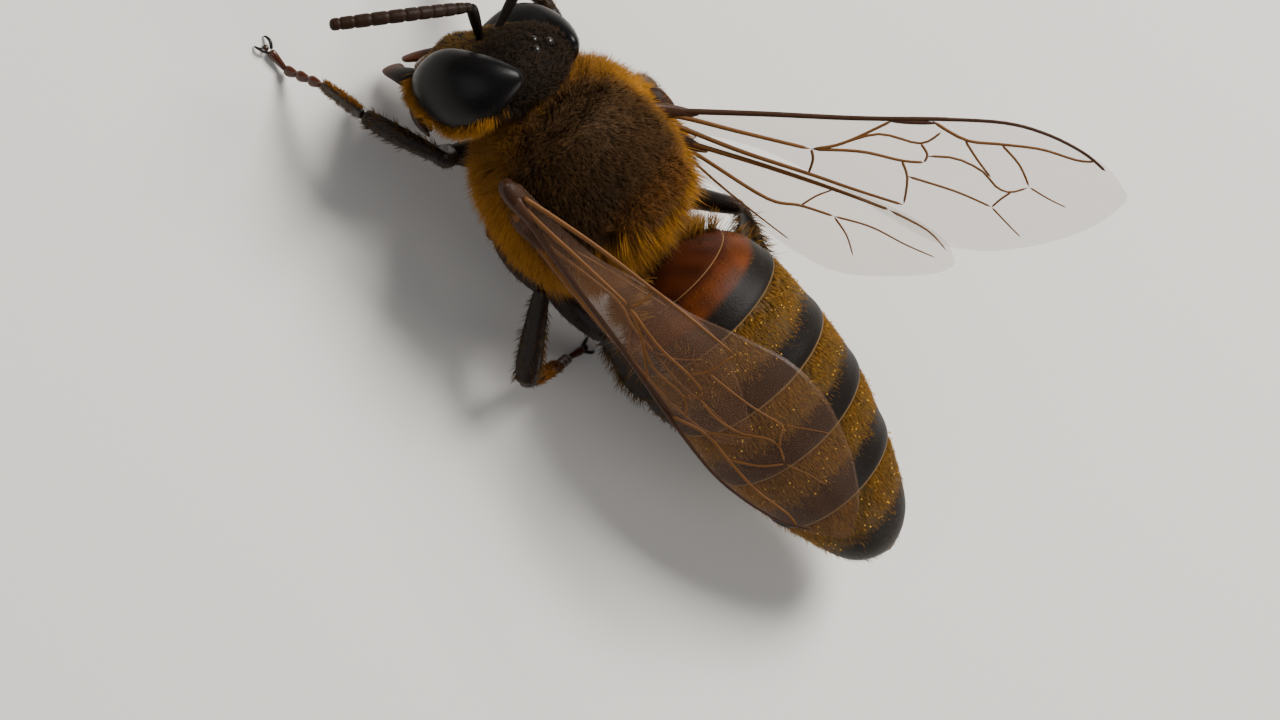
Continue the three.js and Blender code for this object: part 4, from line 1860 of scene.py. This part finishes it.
HIND_VEINS = (
    (0.1, 0.05, ((-0.4, 0.21), (1.6, 0.15), (3.4, 0.16), (4.6, 0.21))),
    (0.05, 0.02, ((4.6, 0.21), (5.5, 0.37), (6.05, 0.67))),
    (0.08, 0.04, ((-0.1, 0.27), (0.6, 0.37), (2.19, 0.75), (2.89, 0.67), (3.6, 0.67))),
    (0.04, 0.02, ((3.6, 0.67), (4.4, 0.65), (5.21, 0.79), (5.9, 0.87))),
    (0.04, 0.02, ((3.6, 0.67), (4, 0.97), (4.31, 1.37))),
    (0.04, 0.03, ((2.89, 0.67), (3.1, 0.41), (3.4, 0.17))),
    (0.05, 0.02, ((0.2, 0.37), (1.2, 0.81), (2.1, 1.15), (3, 1.47))),
)


@dataclass(frozen=True)
class WingPlan:
    """A wing.

    Attributes:
        name: Its name.
        root: Its root, from the wing level.
        span: The direction along it.
        back: A direction across it, toward its trailing edge.
        fore: Whether it is a fore wing.
    """

    name: str
    root: Point
    span: Point
    back: Point
    fore: bool

    CAMBER = 0.12  # how far the middle bows out, in mm
    FOLD = 0.02  # height of the fine folds, in mm

    def axes(self) -> tuple[Array, Array, Array]:
        """The wing's own axes.

        Returns:
            The directions along, across and out of it.
        """
        along = unit(np.asarray(self.span, float))
        across = np.asarray(self.back, float)
        across = unit(across - along * (across @ along))
        out = unit(np.cross(along, across))
        return along, across, out * (-1 if out[2] < 0 else 1)

    def edges(self) -> tuple[Sequence, Sequence]:
        """The leading and trailing edges."""
        return (FORE_LEADING, FORE_TRAILING) if self.fore else (HIND_LEADING, HIND_TRAILING)

    def veins(self) -> Sequence:
        """The veins."""
        return FORE_VEINS if self.fore else HIND_VEINS

    def height(self, flat: Array) -> Array:
        """How far out the film lies.

        Args:
            flat: Places along and across the wing.

        Returns:
            A height in mm for each.
        """
        steps = np.linspace(0, 1, 200)
        lead, trail = (through(edge, steps) for edge in self.edges())
        low = np.interp(flat[:, 0], lead[:, 0], lead[:, 1])
        high = np.interp(flat[:, 0], trail[:, 0], trail[:, 1])
        share = np.clip((flat[:, 1] - low) / np.maximum(high - low, 0.05), 0, 1)
        reach = np.clip(flat[:, 0] / lead[-1, 0], 0, 1)
        bow = self.CAMBER * np.sin(math.pi * share) * np.sin(math.pi * reach)
        folds = self.FOLD * np.sin(flat[:, 1] * 9 - flat[:, 0] * 1.3) * reach * (1 - share)
        return bow + folds

    def place(self, flat: Array, extra: Array | float = 0.0) -> Array:
        """Places along and across the wing as points.

        Args:
            flat: The places.
            extra: How far they are raised off the film.

        Returns:
            One point for each.
        """
        along, across, out = self.axes()
        root = np.asarray(self.root) + (0, 0, BODY_HEIGHT)
        lift = (self.height(flat) + extra)[:, None]
        return root + flat[:, :1] * along + flat[:, 1:] * across + lift * out


@dataclass(frozen=True)
class Film(Surface):
    """The closed thin skin between a wing's edges: v goes out along one face and back along the other.

    Attributes:
        plan: The wing.
        thick: Its thickness in mm.
    """

    plan: WingPlan
    thick: float = 0.016

    def point(self, u: Array, v: Array) -> Array:
        """Points on the surface.

        Args:
            u: Places along the wing.
            v: Places over its upper face and back under it.

        Returns:
            One point for each.
        """
        lead, trail = (through(edge, u) for edge in self.plan.edges())
        share = 1 - np.abs(2 * v - 1)
        flat = lead + (trail - lead) * share[:, None]
        side = np.sign(0.5 - v) * np.sin(math.pi * share.clip(0.02, 0.98)) ** 0.3
        side = np.where((share < 1e-6) | (share > 1 - 1e-6), 0, side)
        return self.plan.place(flat, side * self.thick / 2)


@dataclass(frozen=True)
class Vein(Surface):
    """A tube on the film.

    Attributes:
        plan: The wing.
        track: Points along and across the wing that it passes.
        thick: Its thickness at the root and at the end, in mm.
    """

    plan: WingPlan
    track: tuple[Point, ...]
    thick: tuple[float, float]

    FLAT = 0.7  # its height as a share of its width
    TIP = 0.006  # share of its length in which each end closes

    def middle(self, u: Array) -> Array:
        """The points of its axis."""
        return self.plan.place(through(self.track, u))

    def point(self, u: Array, v: Array) -> Array:
        """Points on the surface.

        Args:
            u: Places along it.
            v: Places round it.

        Returns:
            One point for each.
        """
        along = self.heading(u)
        out = np.broadcast_to(self.plan.axes()[2], along.shape)
        side = np.cross(along, out)
        turn = 2 * math.pi * v
        root, end = self.thick
        radius = (root + (end - root) * u) / 2 * rounded(u, self.TIP) * rounded(1 - u, self.TIP)
        around = side * np.cos(turn)[:, None] + out * (self.FLAT * np.sin(turn))[:, None]
        return self.middle(u) + around * radius[:, None]


WINGS = (
    WingPlan("right_fore", (-1.804, 0.073, 0.638), (-0.585, 0.675, 0.445), (0.487, 0.73, -0.475), True),
    WingPlan("right_hind", (-1.755, 0.774, 0.437), (-0.42, 0.862, 0.282), (0.66, 0.5, -0.58), False),
    WingPlan("left_fore", (2.174, -0.946, 0.355), (0.096, 0.995, 0.019), (-0.664, 0.069, 0.744), True),
    WingPlan("left_hind", (2.156, -0.257, -0.101), (0.03, 0.999, 0.013), (-0.667, 0.01, 0.745), False),
)


@dataclass(frozen=True)
class Wings:
    """The four wings, their veins, and the scales over their roots.

    Attributes:
        tegulae: Of each scale: its side, its place to the left, its place back and its height.
        sunk: How far a scale is sunk toward the body.
        stigma: Place of the dark mark along and across a fore wing.
        thicker: How much thicker all veins but the leading one are made.
    """

    tegulae: tuple[tuple[int, float, float, float], ...] = ((1, 1.97, -0.95, 0.52), (-1, -1.93, 0.2, 0.38))
    sunk: float = 0.03
    stigma: tuple[float, float] = (5.0, 0.22)
    thicker: float = 1.25

    def build(self, kit: Kit) -> None:
        """Makes them all.

        Args:
            kit: The materials.
        """
        for plan in WINGS:
            self.film(kit, plan)
            self.veins(kit, plan)
        for side, x, y, level in self.tegulae:
            self.tegula(kit, side, (x - side * self.sunk, y, BODY_HEIGHT + level))

    @staticmethod
    def film(kit: Kit, plan: WingPlan) -> None:
        """Makes one wing's film; the folded left wings get a darker, denser copy of the same film, painted
        shade on the bee's shaded side.

        Args:
            kit: The materials.
            plan: The wing.
        """
        shape = Shape(f"wing_{plan.name}_film")
        shape.wrap(Film(plan), 72, 48, INK.amber)
        # painted shade: the left wings take the darker copy of the film
        material = kit.smoked if plan.name.startswith("left") else kit.film
        shape.finish([material], [f"wing_{plan.name}"], Slot.FILM)

    def veins(self, kit: Kit, plan: WingPlan) -> None:
        """Makes one wing's veins, its dark mark and the stem that holds it.

        Args:
            kit: The materials.
            plan: The wing.
        """
        shape = Shape(f"wing_{plan.name}_veins")
        for root, end, track in plan.veins():
            steps = max(int(np.ptp(np.asarray(track)[:, 0]) * 6), 8)
            leading = plan.fore and track[0][1] < 0.26 and root > 0.08
            ink, gain = (INK.strut, 1.0) if leading else (INK.vein, self.thicker)
            shape.wrap(Vein(plan, track, (root * gain, end * gain)), steps, 8, ink, ease=False)
        base = np.asarray(plan.root) + (0, 0, BODY_HEIGHT)
        along, across, out = plan.axes()
        inner = base - along * 0.35 + np.array((-0.35 * np.sign(base[0]), 0, -0.1))
        stem = Loft(
            (tuple(inner), tuple(base + across * 0.2), tuple(base + along * 0.75 + across * 0.25)),
            (0.16, 0.18, 0.13, 0.06),
            (0.13, 0.12, 0.08, 0.03),
            up=tuple(out),
            caps=(0.2, 0.2),
        )
        shape.wrap(stem, 20, 20, INK.strut)
        if plan.fore:
            at = plan.place(np.array((self.stigma,)))[0]
            turn = np.stack([along, across, out], 1)
            shape.ball(at, (0.48, 0.045, 0.03), INK.strut, turn=turn)
        shape.finish([kit.shell], [f"wing_{plan.name}"], Slot.FILM)

    @staticmethod
    def scale_hue(u: Array, v: Array, points: Array) -> Array:
        """Mottled brown."""
        return mixed(INK.brown, INK.black, 0.3 + 0.5 * wobble(points, 0.5, 2))

    def tegula(self, kit: Kit, side: int, centre: Point) -> None:
        """Makes the scale over one wing's root.

        Args:
            kit: The materials.
            side: 1 for the left and -1 for the right.
            centre: Its middle.
        """
        label = LABELS[side]
        x, y, z = centre
        scale = Loft(
            ((x, y - 0.4, z), (x, y + 0.4, z)),
            (0.13, 0.19, 0.21, 0.19, 0.13),
            (0.07, 0.11, 0.12, 0.11, 0.07),
            caps=(0.4, 0.4),
        )
        shape = Shape(f"tegula_{label}_scale")
        shape.wrap(scale, 28, 28, self.scale_hue)
        shape.finish([kit.plate], [f"tegula_{label}"], Slot.AMBER)


# ---- legs
FOOT_LEVEL = FLOOR + 0.15  # height of the last joint of a foot
CLAW_LEVEL = FLOOR + 0.12  # height of the claws' root

# Of each leg, with x outward: root, hip, knee, ankle, heel, last joint and claws.
LEGS = {
    "front_left": (
        *((0.5, -0.95, 1.75), (1.05, -1.6, 1.1), (1.95, -2.2, 2.5), (2.28, -3.75, 1.8), (2.1, -4.5, 0.95)),
        *((2.1, -5.0, FOOT_LEVEL), (2.08, -5.5, CLAW_LEVEL)),
    ),
    "middle_left": (
        *((0.55, 0.1, 1.7), (1.3, 0.3, 0.86), (2.0, 1.33, 2.15), (3.28, 2.63, 1.4), (2.15, 3.2, 0.7)),
        *((1.62, 3.45, FOOT_LEVEL), (1.2, 3.6, CLAW_LEVEL)),
    ),
    "hind_left": (
        *((0.6, 1.0, 1.7), (1.25, 1.55, 1.05), (1.6, 3.05, 2.05), (0.95, 5.25, 0.8), (0.5, 6.85, 0.48)),
        *((0.4, 7.75, FOOT_LEVEL), (0.36, 8.35, CLAW_LEVEL)),
    ),
    "front_right": (
        *((0.5, -0.95, 1.75), (1.05, -1.6, 1.1), (2.0, -2.1, 2.45), (2.4, -3.5, 1.7), (2.45, -4.2, 0.85)),
        *((2.55, -4.75, FOOT_LEVEL), (2.65, -5.25, CLAW_LEVEL)),
    ),
    "middle_right": (
        *((0.55, 0.1, 1.7), (1.3, 0.3, 0.86), (2.6, 0.2, 2.0), (3.25, 0.75, 1.2), (3.6, 1.35, 0.55)),
        *((3.7, 1.85, FOOT_LEVEL), (3.72, 2.35, CLAW_LEVEL)),
    ),
    "hind_right": (
        *((0.6, 1.0, 1.7), (1.25, 1.6, 1.4), (2.17, 3.26, 2.95), (2.62, 5.1, 0.86), (2.75, 6.6, 0.5)),
        *((2.85, 7.5, FOOT_LEVEL), (2.9, 8.1, CLAW_LEVEL)),
    ),
}


@dataclass(frozen=True)
class Limb:
    """Half sizes across one pair of legs.

    Attributes:
        femur: Across the thigh.
        femur_flat: Its depth as a share of its width.
        tibia: Across the shin.
        tibia_flat: Its depth as a share of its width.
        sole: Across the first joint of the foot.
        sole_flat: Its depth as a share of its width.
        spur: Whether the shin has a spur, or long hair instead.
    """

    femur: tuple[float, ...]
    femur_flat: float
    tibia: tuple[float, ...]
    tibia_flat: float
    sole: tuple[float, ...]
    sole_flat: float
    spur: bool = True


LIMBS = {
    "front": Limb(
        *((0.12, 0.24, 0.27, 0.22, 0.15), 0.8),
        *((0.15, 0.19, 0.21, 0.2, 0.16), 0.8),
        *((0.11, 0.13, 0.13, 0.12, 0.1), 0.75),
    ),
    "middle": Limb(
        *((0.12, 0.25, 0.28, 0.23, 0.16), 0.8),
        *((0.15, 0.2, 0.24, 0.26, 0.2), 0.7),
        *((0.14, 0.19, 0.2, 0.18, 0.13), 0.6),
    ),
    "hind": Limb(
        *((0.14, 0.26, 0.3, 0.26, 0.17), 0.75),
        *((0.15, 0.24, 0.34, 0.45, 0.4), 0.42),
        *((0.32, 0.42, 0.42, 0.38, 0.24), 0.3),
        spur=False,
    ),
}


@dataclass(frozen=True)
class Leg:
    """One leg, from its hip to its claws.

    Attributes:
        name: Which leg it is.
        claw: Half sizes along a claw.
        beads: Short joints of the foot.
        tiles: Where the hair of thigh, shin and foot lies on the coat's map.
    """

    name: str
    claw: tuple[float, ...] = (0.035, 0.036, 0.026, 0.01)
    beads: int = 3
    tiles: tuple[Tile, ...] = ((0, 0, 0.3, 1), (0.33, 0, 0.3, 1), (0.66, 0, 0.3, 1))

    @property
    def side(self) -> int:
        """1 for a left leg and -1 for a right one."""
        return 1 if self.name.endswith("left") else -1

    @property
    def limb(self) -> Limb:
        """The sizes of its pair."""
        return LIMBS[self.name.split("_")[0]]

    @property
    def outward(self) -> Point:
        """The direction away from the body, and a little up."""
        return self.side, 0.0, 0.35

    @property
    def joints(self) -> list[Array]:
        """Its joints, from the root to the claws."""
        return [np.array((self.side * x, y, z)) for x, y, z in LEGS[self.name]]

    def part(
        self,
        ends: Sequence[Array],
        across: Sequence[float],
        flat: float,
        caps: tuple[float, float] = (0.08, 0.08),
        bow: float = 0.0,
    ) -> Loft:
        """One segment of the leg.

        Args:
            ends: Where it starts and ends.
            across: Half sizes across it.
            flat: Its depth as a share of its width.
            caps: How much of its length each end takes to close.
            bow: How far its middle bows outward.

        Returns:
            Its shape.
        """
        a, b = ends
        path = (a, (a + b) / 2 + np.asarray(self.outward) * bow, b)
        depth = tuple(width * flat for width in across)
        return Loft(tuple(map(tuple, path)), tuple(across), depth, up=self.outward, caps=caps)

    @staticmethod
    def hue(u: Array, v: Array, points: Array) -> Array:
        """Black shell, browner toward the foot."""
        return mixed(INK.black, INK.brown, 0.1 + 0.7 * rise(-points[:, 2], -1.0, -0.2))

    def build(self, kit: Kit) -> None:
        """Makes the leg's pieces and their hair.

        Args:
            kit: The materials.
        """
        root, hip, knee, ankle, heel, *_ = self.joints
        limb, name = self.limb, self.name
        coxa = self.part((root, hip), (0.24, 0.34, 0.33, 0.26, 0.17), 0.85)
        shape = Shape(f"leg_{name}_hip")
        shape.wrap(coxa, 24, 28, self.hue)
        shape.ball(hip, (0.19, 0.19, 0.19), INK.black)
        shape.finish([kit.shell], [f"leg_{name}_coxa"], Slot.LEG)
        femur = self.part((hip, knee), limb.femur, limb.femur_flat, bow=0.04)
        shape = Shape(f"leg_{name}_thigh")
        shape.wrap(femur, 36, 30, self.hue)
        shape.finish([kit.shell], [f"leg_{name}_femur"], Slot.LEG)
        tibia = self.part((knee, ankle), limb.tibia, limb.tibia_flat, (0.06, 0.08), bow=0.03)
        shape = Shape(f"leg_{name}_shin")
        shape.wrap(tibia, 44, 34, self.hue)
        if limb.spur:
            way = unit(heel - ankle)
            tip = ankle + way * 0.32 - np.asarray(self.outward) * 0.16
            shape.wrap(tube((ankle - way * 0.05, tip), (0.035, 0.03, 0.006)), 10, 10, INK.red_brown)
        shape.finish([kit.shell], [f"leg_{name}_tibia"], Slot.LEG)
        sole = self.part((ankle, heel), limb.sole, limb.sole_flat, (0.06, 0.06))
        self.foot(kit, sole)
        self.coat(kit, femur, tibia, sole)

    def foot(self, kit: Kit, sole: Loft) -> None:
        """Makes the long first joint of the foot, three short ones, the last one and its claws.

        Args:
            kit: The materials.
            sole: The first joint.
        """
        *_, heel, foot, claw = self.joints
        shape = Shape(f"leg_{self.name}_foot")
        shape.wrap(sole, 36, 28, self.hue)
        for number in range(self.beads):
            a, b = (heel + (foot - heel) * (k / self.beads) for k in (number, number + 1))
            bead = self.part((a, b + (b - a) * 0.1), (0.05, 0.085, 0.115, 0.12, 0.07), 0.8, (0.15, 0.12))
            shape.wrap(bead, 16, 18, INK.red_brown)
        last = self.part((foot, claw), (0.05, 0.07, 0.085, 0.1, 0.09), 0.8, (0.1, 0.12))
        shape.wrap(last, 20, 18, INK.red_brown)
        way = unit((claw - foot) * (1, 1, 0))
        across = np.cross(way, (0, 0, 1))
        tip = FLOOR + 0.012
        for hand in (1, -1):
            a = claw + across * hand * 0.05
            b = claw + across * hand * 0.13 + way * 0.13 + np.array((0, 0, 0.02))
            c = claw + across * hand * 0.16 + way * 0.24
            d = claw + across * hand * 0.14 + way * 0.27
            c[2], d[2] = tip + 0.06, tip
            shape.wrap(tube((a, b, c, d), self.claw, up=across), 16, 10, INK.black)
        shape.ball(claw + way * 0.09 + np.array((0, 0, -0.055)), (0.07, 0.07, 0.06), INK.brown)
        shape.finish([kit.gloss], [f"leg_{self.name}_tarsus"], Slot.LEG)

    @staticmethod
    def all_over(u: Array, v: Array, points: Array, normals: Array) -> Array:
        """Hair everywhere but at the ends."""
        return rise(u, 0.05, 0.15) * rise(1 - u, 0.03, 0.1)

    @classmethod
    def on_edges(cls, u: Array, v: Array, points: Array, normals: Array) -> Array:
        """Hair along the edges."""
        return cls.all_over(u, v, points, normals) * np.abs(np.cos(2 * math.pi * v)) ** 4

    @classmethod
    def inside(cls, u: Array, v: Array, points: Array, normals: Array) -> Array:
        """Hair on the inner face."""
        return cls.all_over(u, v, points, normals) * (np.sin(2 * math.pi * v) < 0.2)

    @staticmethod
    def hair_hue(u: Array, v: Array, points: Array) -> Array:
        """Dark above and tan below."""
        return mixed(INK.disc, INK.tan, 0.3 + 0.5 * rise(-points[:, 2], -1.6, -0.8))

    def coat(self, kit: Kit, femur: Loft, tibia: Loft, sole: Loft) -> None:
        """Grows the leg's hair: short on its faces, long at a shin's edges, a brush under the foot.

        Args:
            kit: The materials.
            femur: The thigh.
            tibia: The shin.
            sole: The first joint of the foot.
        """
        _, hip, knee, ankle, heel, *_ = self.joints
        length, edged = (0.26, 250) if self.limb.spur else (0.4, 900)
        seed = 100 + 10 * list(LEGS).index(self.name)
        short = Hair(0.17, 0.01, lean=0.65, strands=2, curl=0.3, clump=0.03)
        long = Hair(length, 0.012, lean=0.5, strands=2, curl=0.5, clump=0.03)
        brush = Hair(0.16, 0.016, lean=0.45, spread=0.2, strands=2, curl=0.2, clump=0.02)
        hue, gold = self.hair_hue, plain(tuple(mixed(INK.gold, INK.amber, 0.6)))
        thigh, shin, foot = (toward(*(b - a)) for a, b in ((hip, knee), (knee, ankle), (ankle, heel)))
        thigh_tile, shin_tile, foot_tile = self.tiles
        fields = [
            grow(femur, 300, short, thigh, hue, self.all_over, tile=thigh_tile, seed=seed),
            grow(tibia, 350, short, shin, hue, self.all_over, tile=shin_tile, seed=seed + 1),
            grow(tibia, edged, long, shin, hue, self.on_edges, tile=shin_tile, seed=seed + 2),
            grow(sole, 800, brush, foot, gold, self.inside, tile=foot_tile, seed=seed + 3),
            grow(sole, 400, short, foot, hue, self.all_over, tile=foot_tile, seed=seed + 4),
        ]
        nodes = [f"leg_{self.name}_{part}" for part in ("femur", "tibia", "tarsus")]
        coat_piece(f"coat_leg_{self.name}", fields, kit.hair, nodes)


# ---- studio
@dataclass(frozen=True)
class Studio:
    """A pale floor, three soft lights and the camera.

    Attributes:
        aim: What the camera looks at, in the bee's axes.
        back: The direction from there to the camera.
        up: The direction that is up for it.
        distance: From the aim to the camera, in mm.
        lens: Focal length on a 36 mm sensor.
    """

    aim: Point = (2.1215, 3.3131, 3.572)
    back: Point = (0.4266, -0.342, 0.837)
    up: Point = (-0.7016, -0.7092, 0.0679)
    distance: float = 200.0
    lens: float = 287.0

    def camera(self) -> None:
        """Sets the camera."""
        data = bpy.data.cameras.new("camera")
        data.lens = self.lens
        data.sensor_width = 36
        data.clip_start = 0.01
        data.clip_end = 10
        camera = bpy.data.objects.new("camera", data)
        back, up = Vector(self.back).normalized(), Vector(self.up)
        right = up.cross(back).normalized()
        up = back.cross(right)
        turn = Matrix((right, up, back)).transposed().to_4x4()
        place = Vector(to_row(np.array(self.aim))) + back * self.distance * MM
        camera.matrix_world = Matrix.Translation(place) @ turn
        bpy.context.scene.collection.objects.link(camera)
        bpy.context.scene.camera = camera

    def lamp(self, name: str, place: Point, size: float, power: float, colour: Colour) -> None:
        """Adds a soft square light that shines at the bee.

        Args:
            name: Its name.
            place: Where it is, in mm.
            size: Its side, in mm.
            power: Its power.
            colour: Its colour.
        """
        data = bpy.data.lights.new(name, "AREA")
        data.size = size * MM
        data.energy = power
        data.color = colour
        lamp = bpy.data.objects.new(name, data)
        at, bee = Vector(place) * MM, Vector((0, 0, 0.003))
        turn = (at - bee).to_track_quat("Z", "Y").to_matrix().to_4x4()
        lamp.matrix_world = Matrix.Translation(at) @ turn
        bpy.context.scene.collection.objects.link(lamp)

    def floor(self) -> None:
        """Lays the floor."""
        bm = bmesh.new()
        bmesh.ops.create_grid(bm, x_segments=1, y_segments=1, size=1.0)
        mesh = bpy.data.meshes.new("floor")
        bm.to_mesh(mesh)
        bm.free()
        mesh.materials.append(PlainFinish("floor_paper", (0.78, 0.75, 0.7), 0.9).make())
        floor = bpy.data.objects.new("floor", mesh)
        bpy.context.scene.collection.objects.link(floor)

    def build(self) -> None:
        """Makes all of it."""
        self.camera()
        self.lamp("key", (-86, -20, 122), 70, 0.42, (1.0, 0.98, 0.95))
        self.lamp("fill", (130, -60, 90), 130, 0.07, (0.95, 0.97, 1.0))
        self.lamp("rim", (-20, 150, 80), 80, 0.09, (1.0, 0.97, 0.92))
        self.floor()
        world = bpy.data.worlds.new("studio")
        world.use_nodes = True
        sky = world.node_tree.nodes["Background"]
        sky.inputs["Color"].default_value = (0.86, 0.9, 1.0, 1)
        sky.inputs["Strength"].default_value = 0.14
        bpy.context.scene.world = world


def main() -> None:
    """Builds the bee."""
    logging.basicConfig(level=logging.INFO, format="%(name)s: %(message)s")
    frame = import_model()
    LOG.info("frame of %d nodes", len(frame["nodes"]))
    Studio().build()
    kit = Kit.make()
    Thorax().build(kit)
    Head().build(kit)
    Abdomen().build(kit)
    Wings().build(kit)
    for name in LEGS:
        Leg(name).build(kit)


if __name__ == "__main__":
    main()
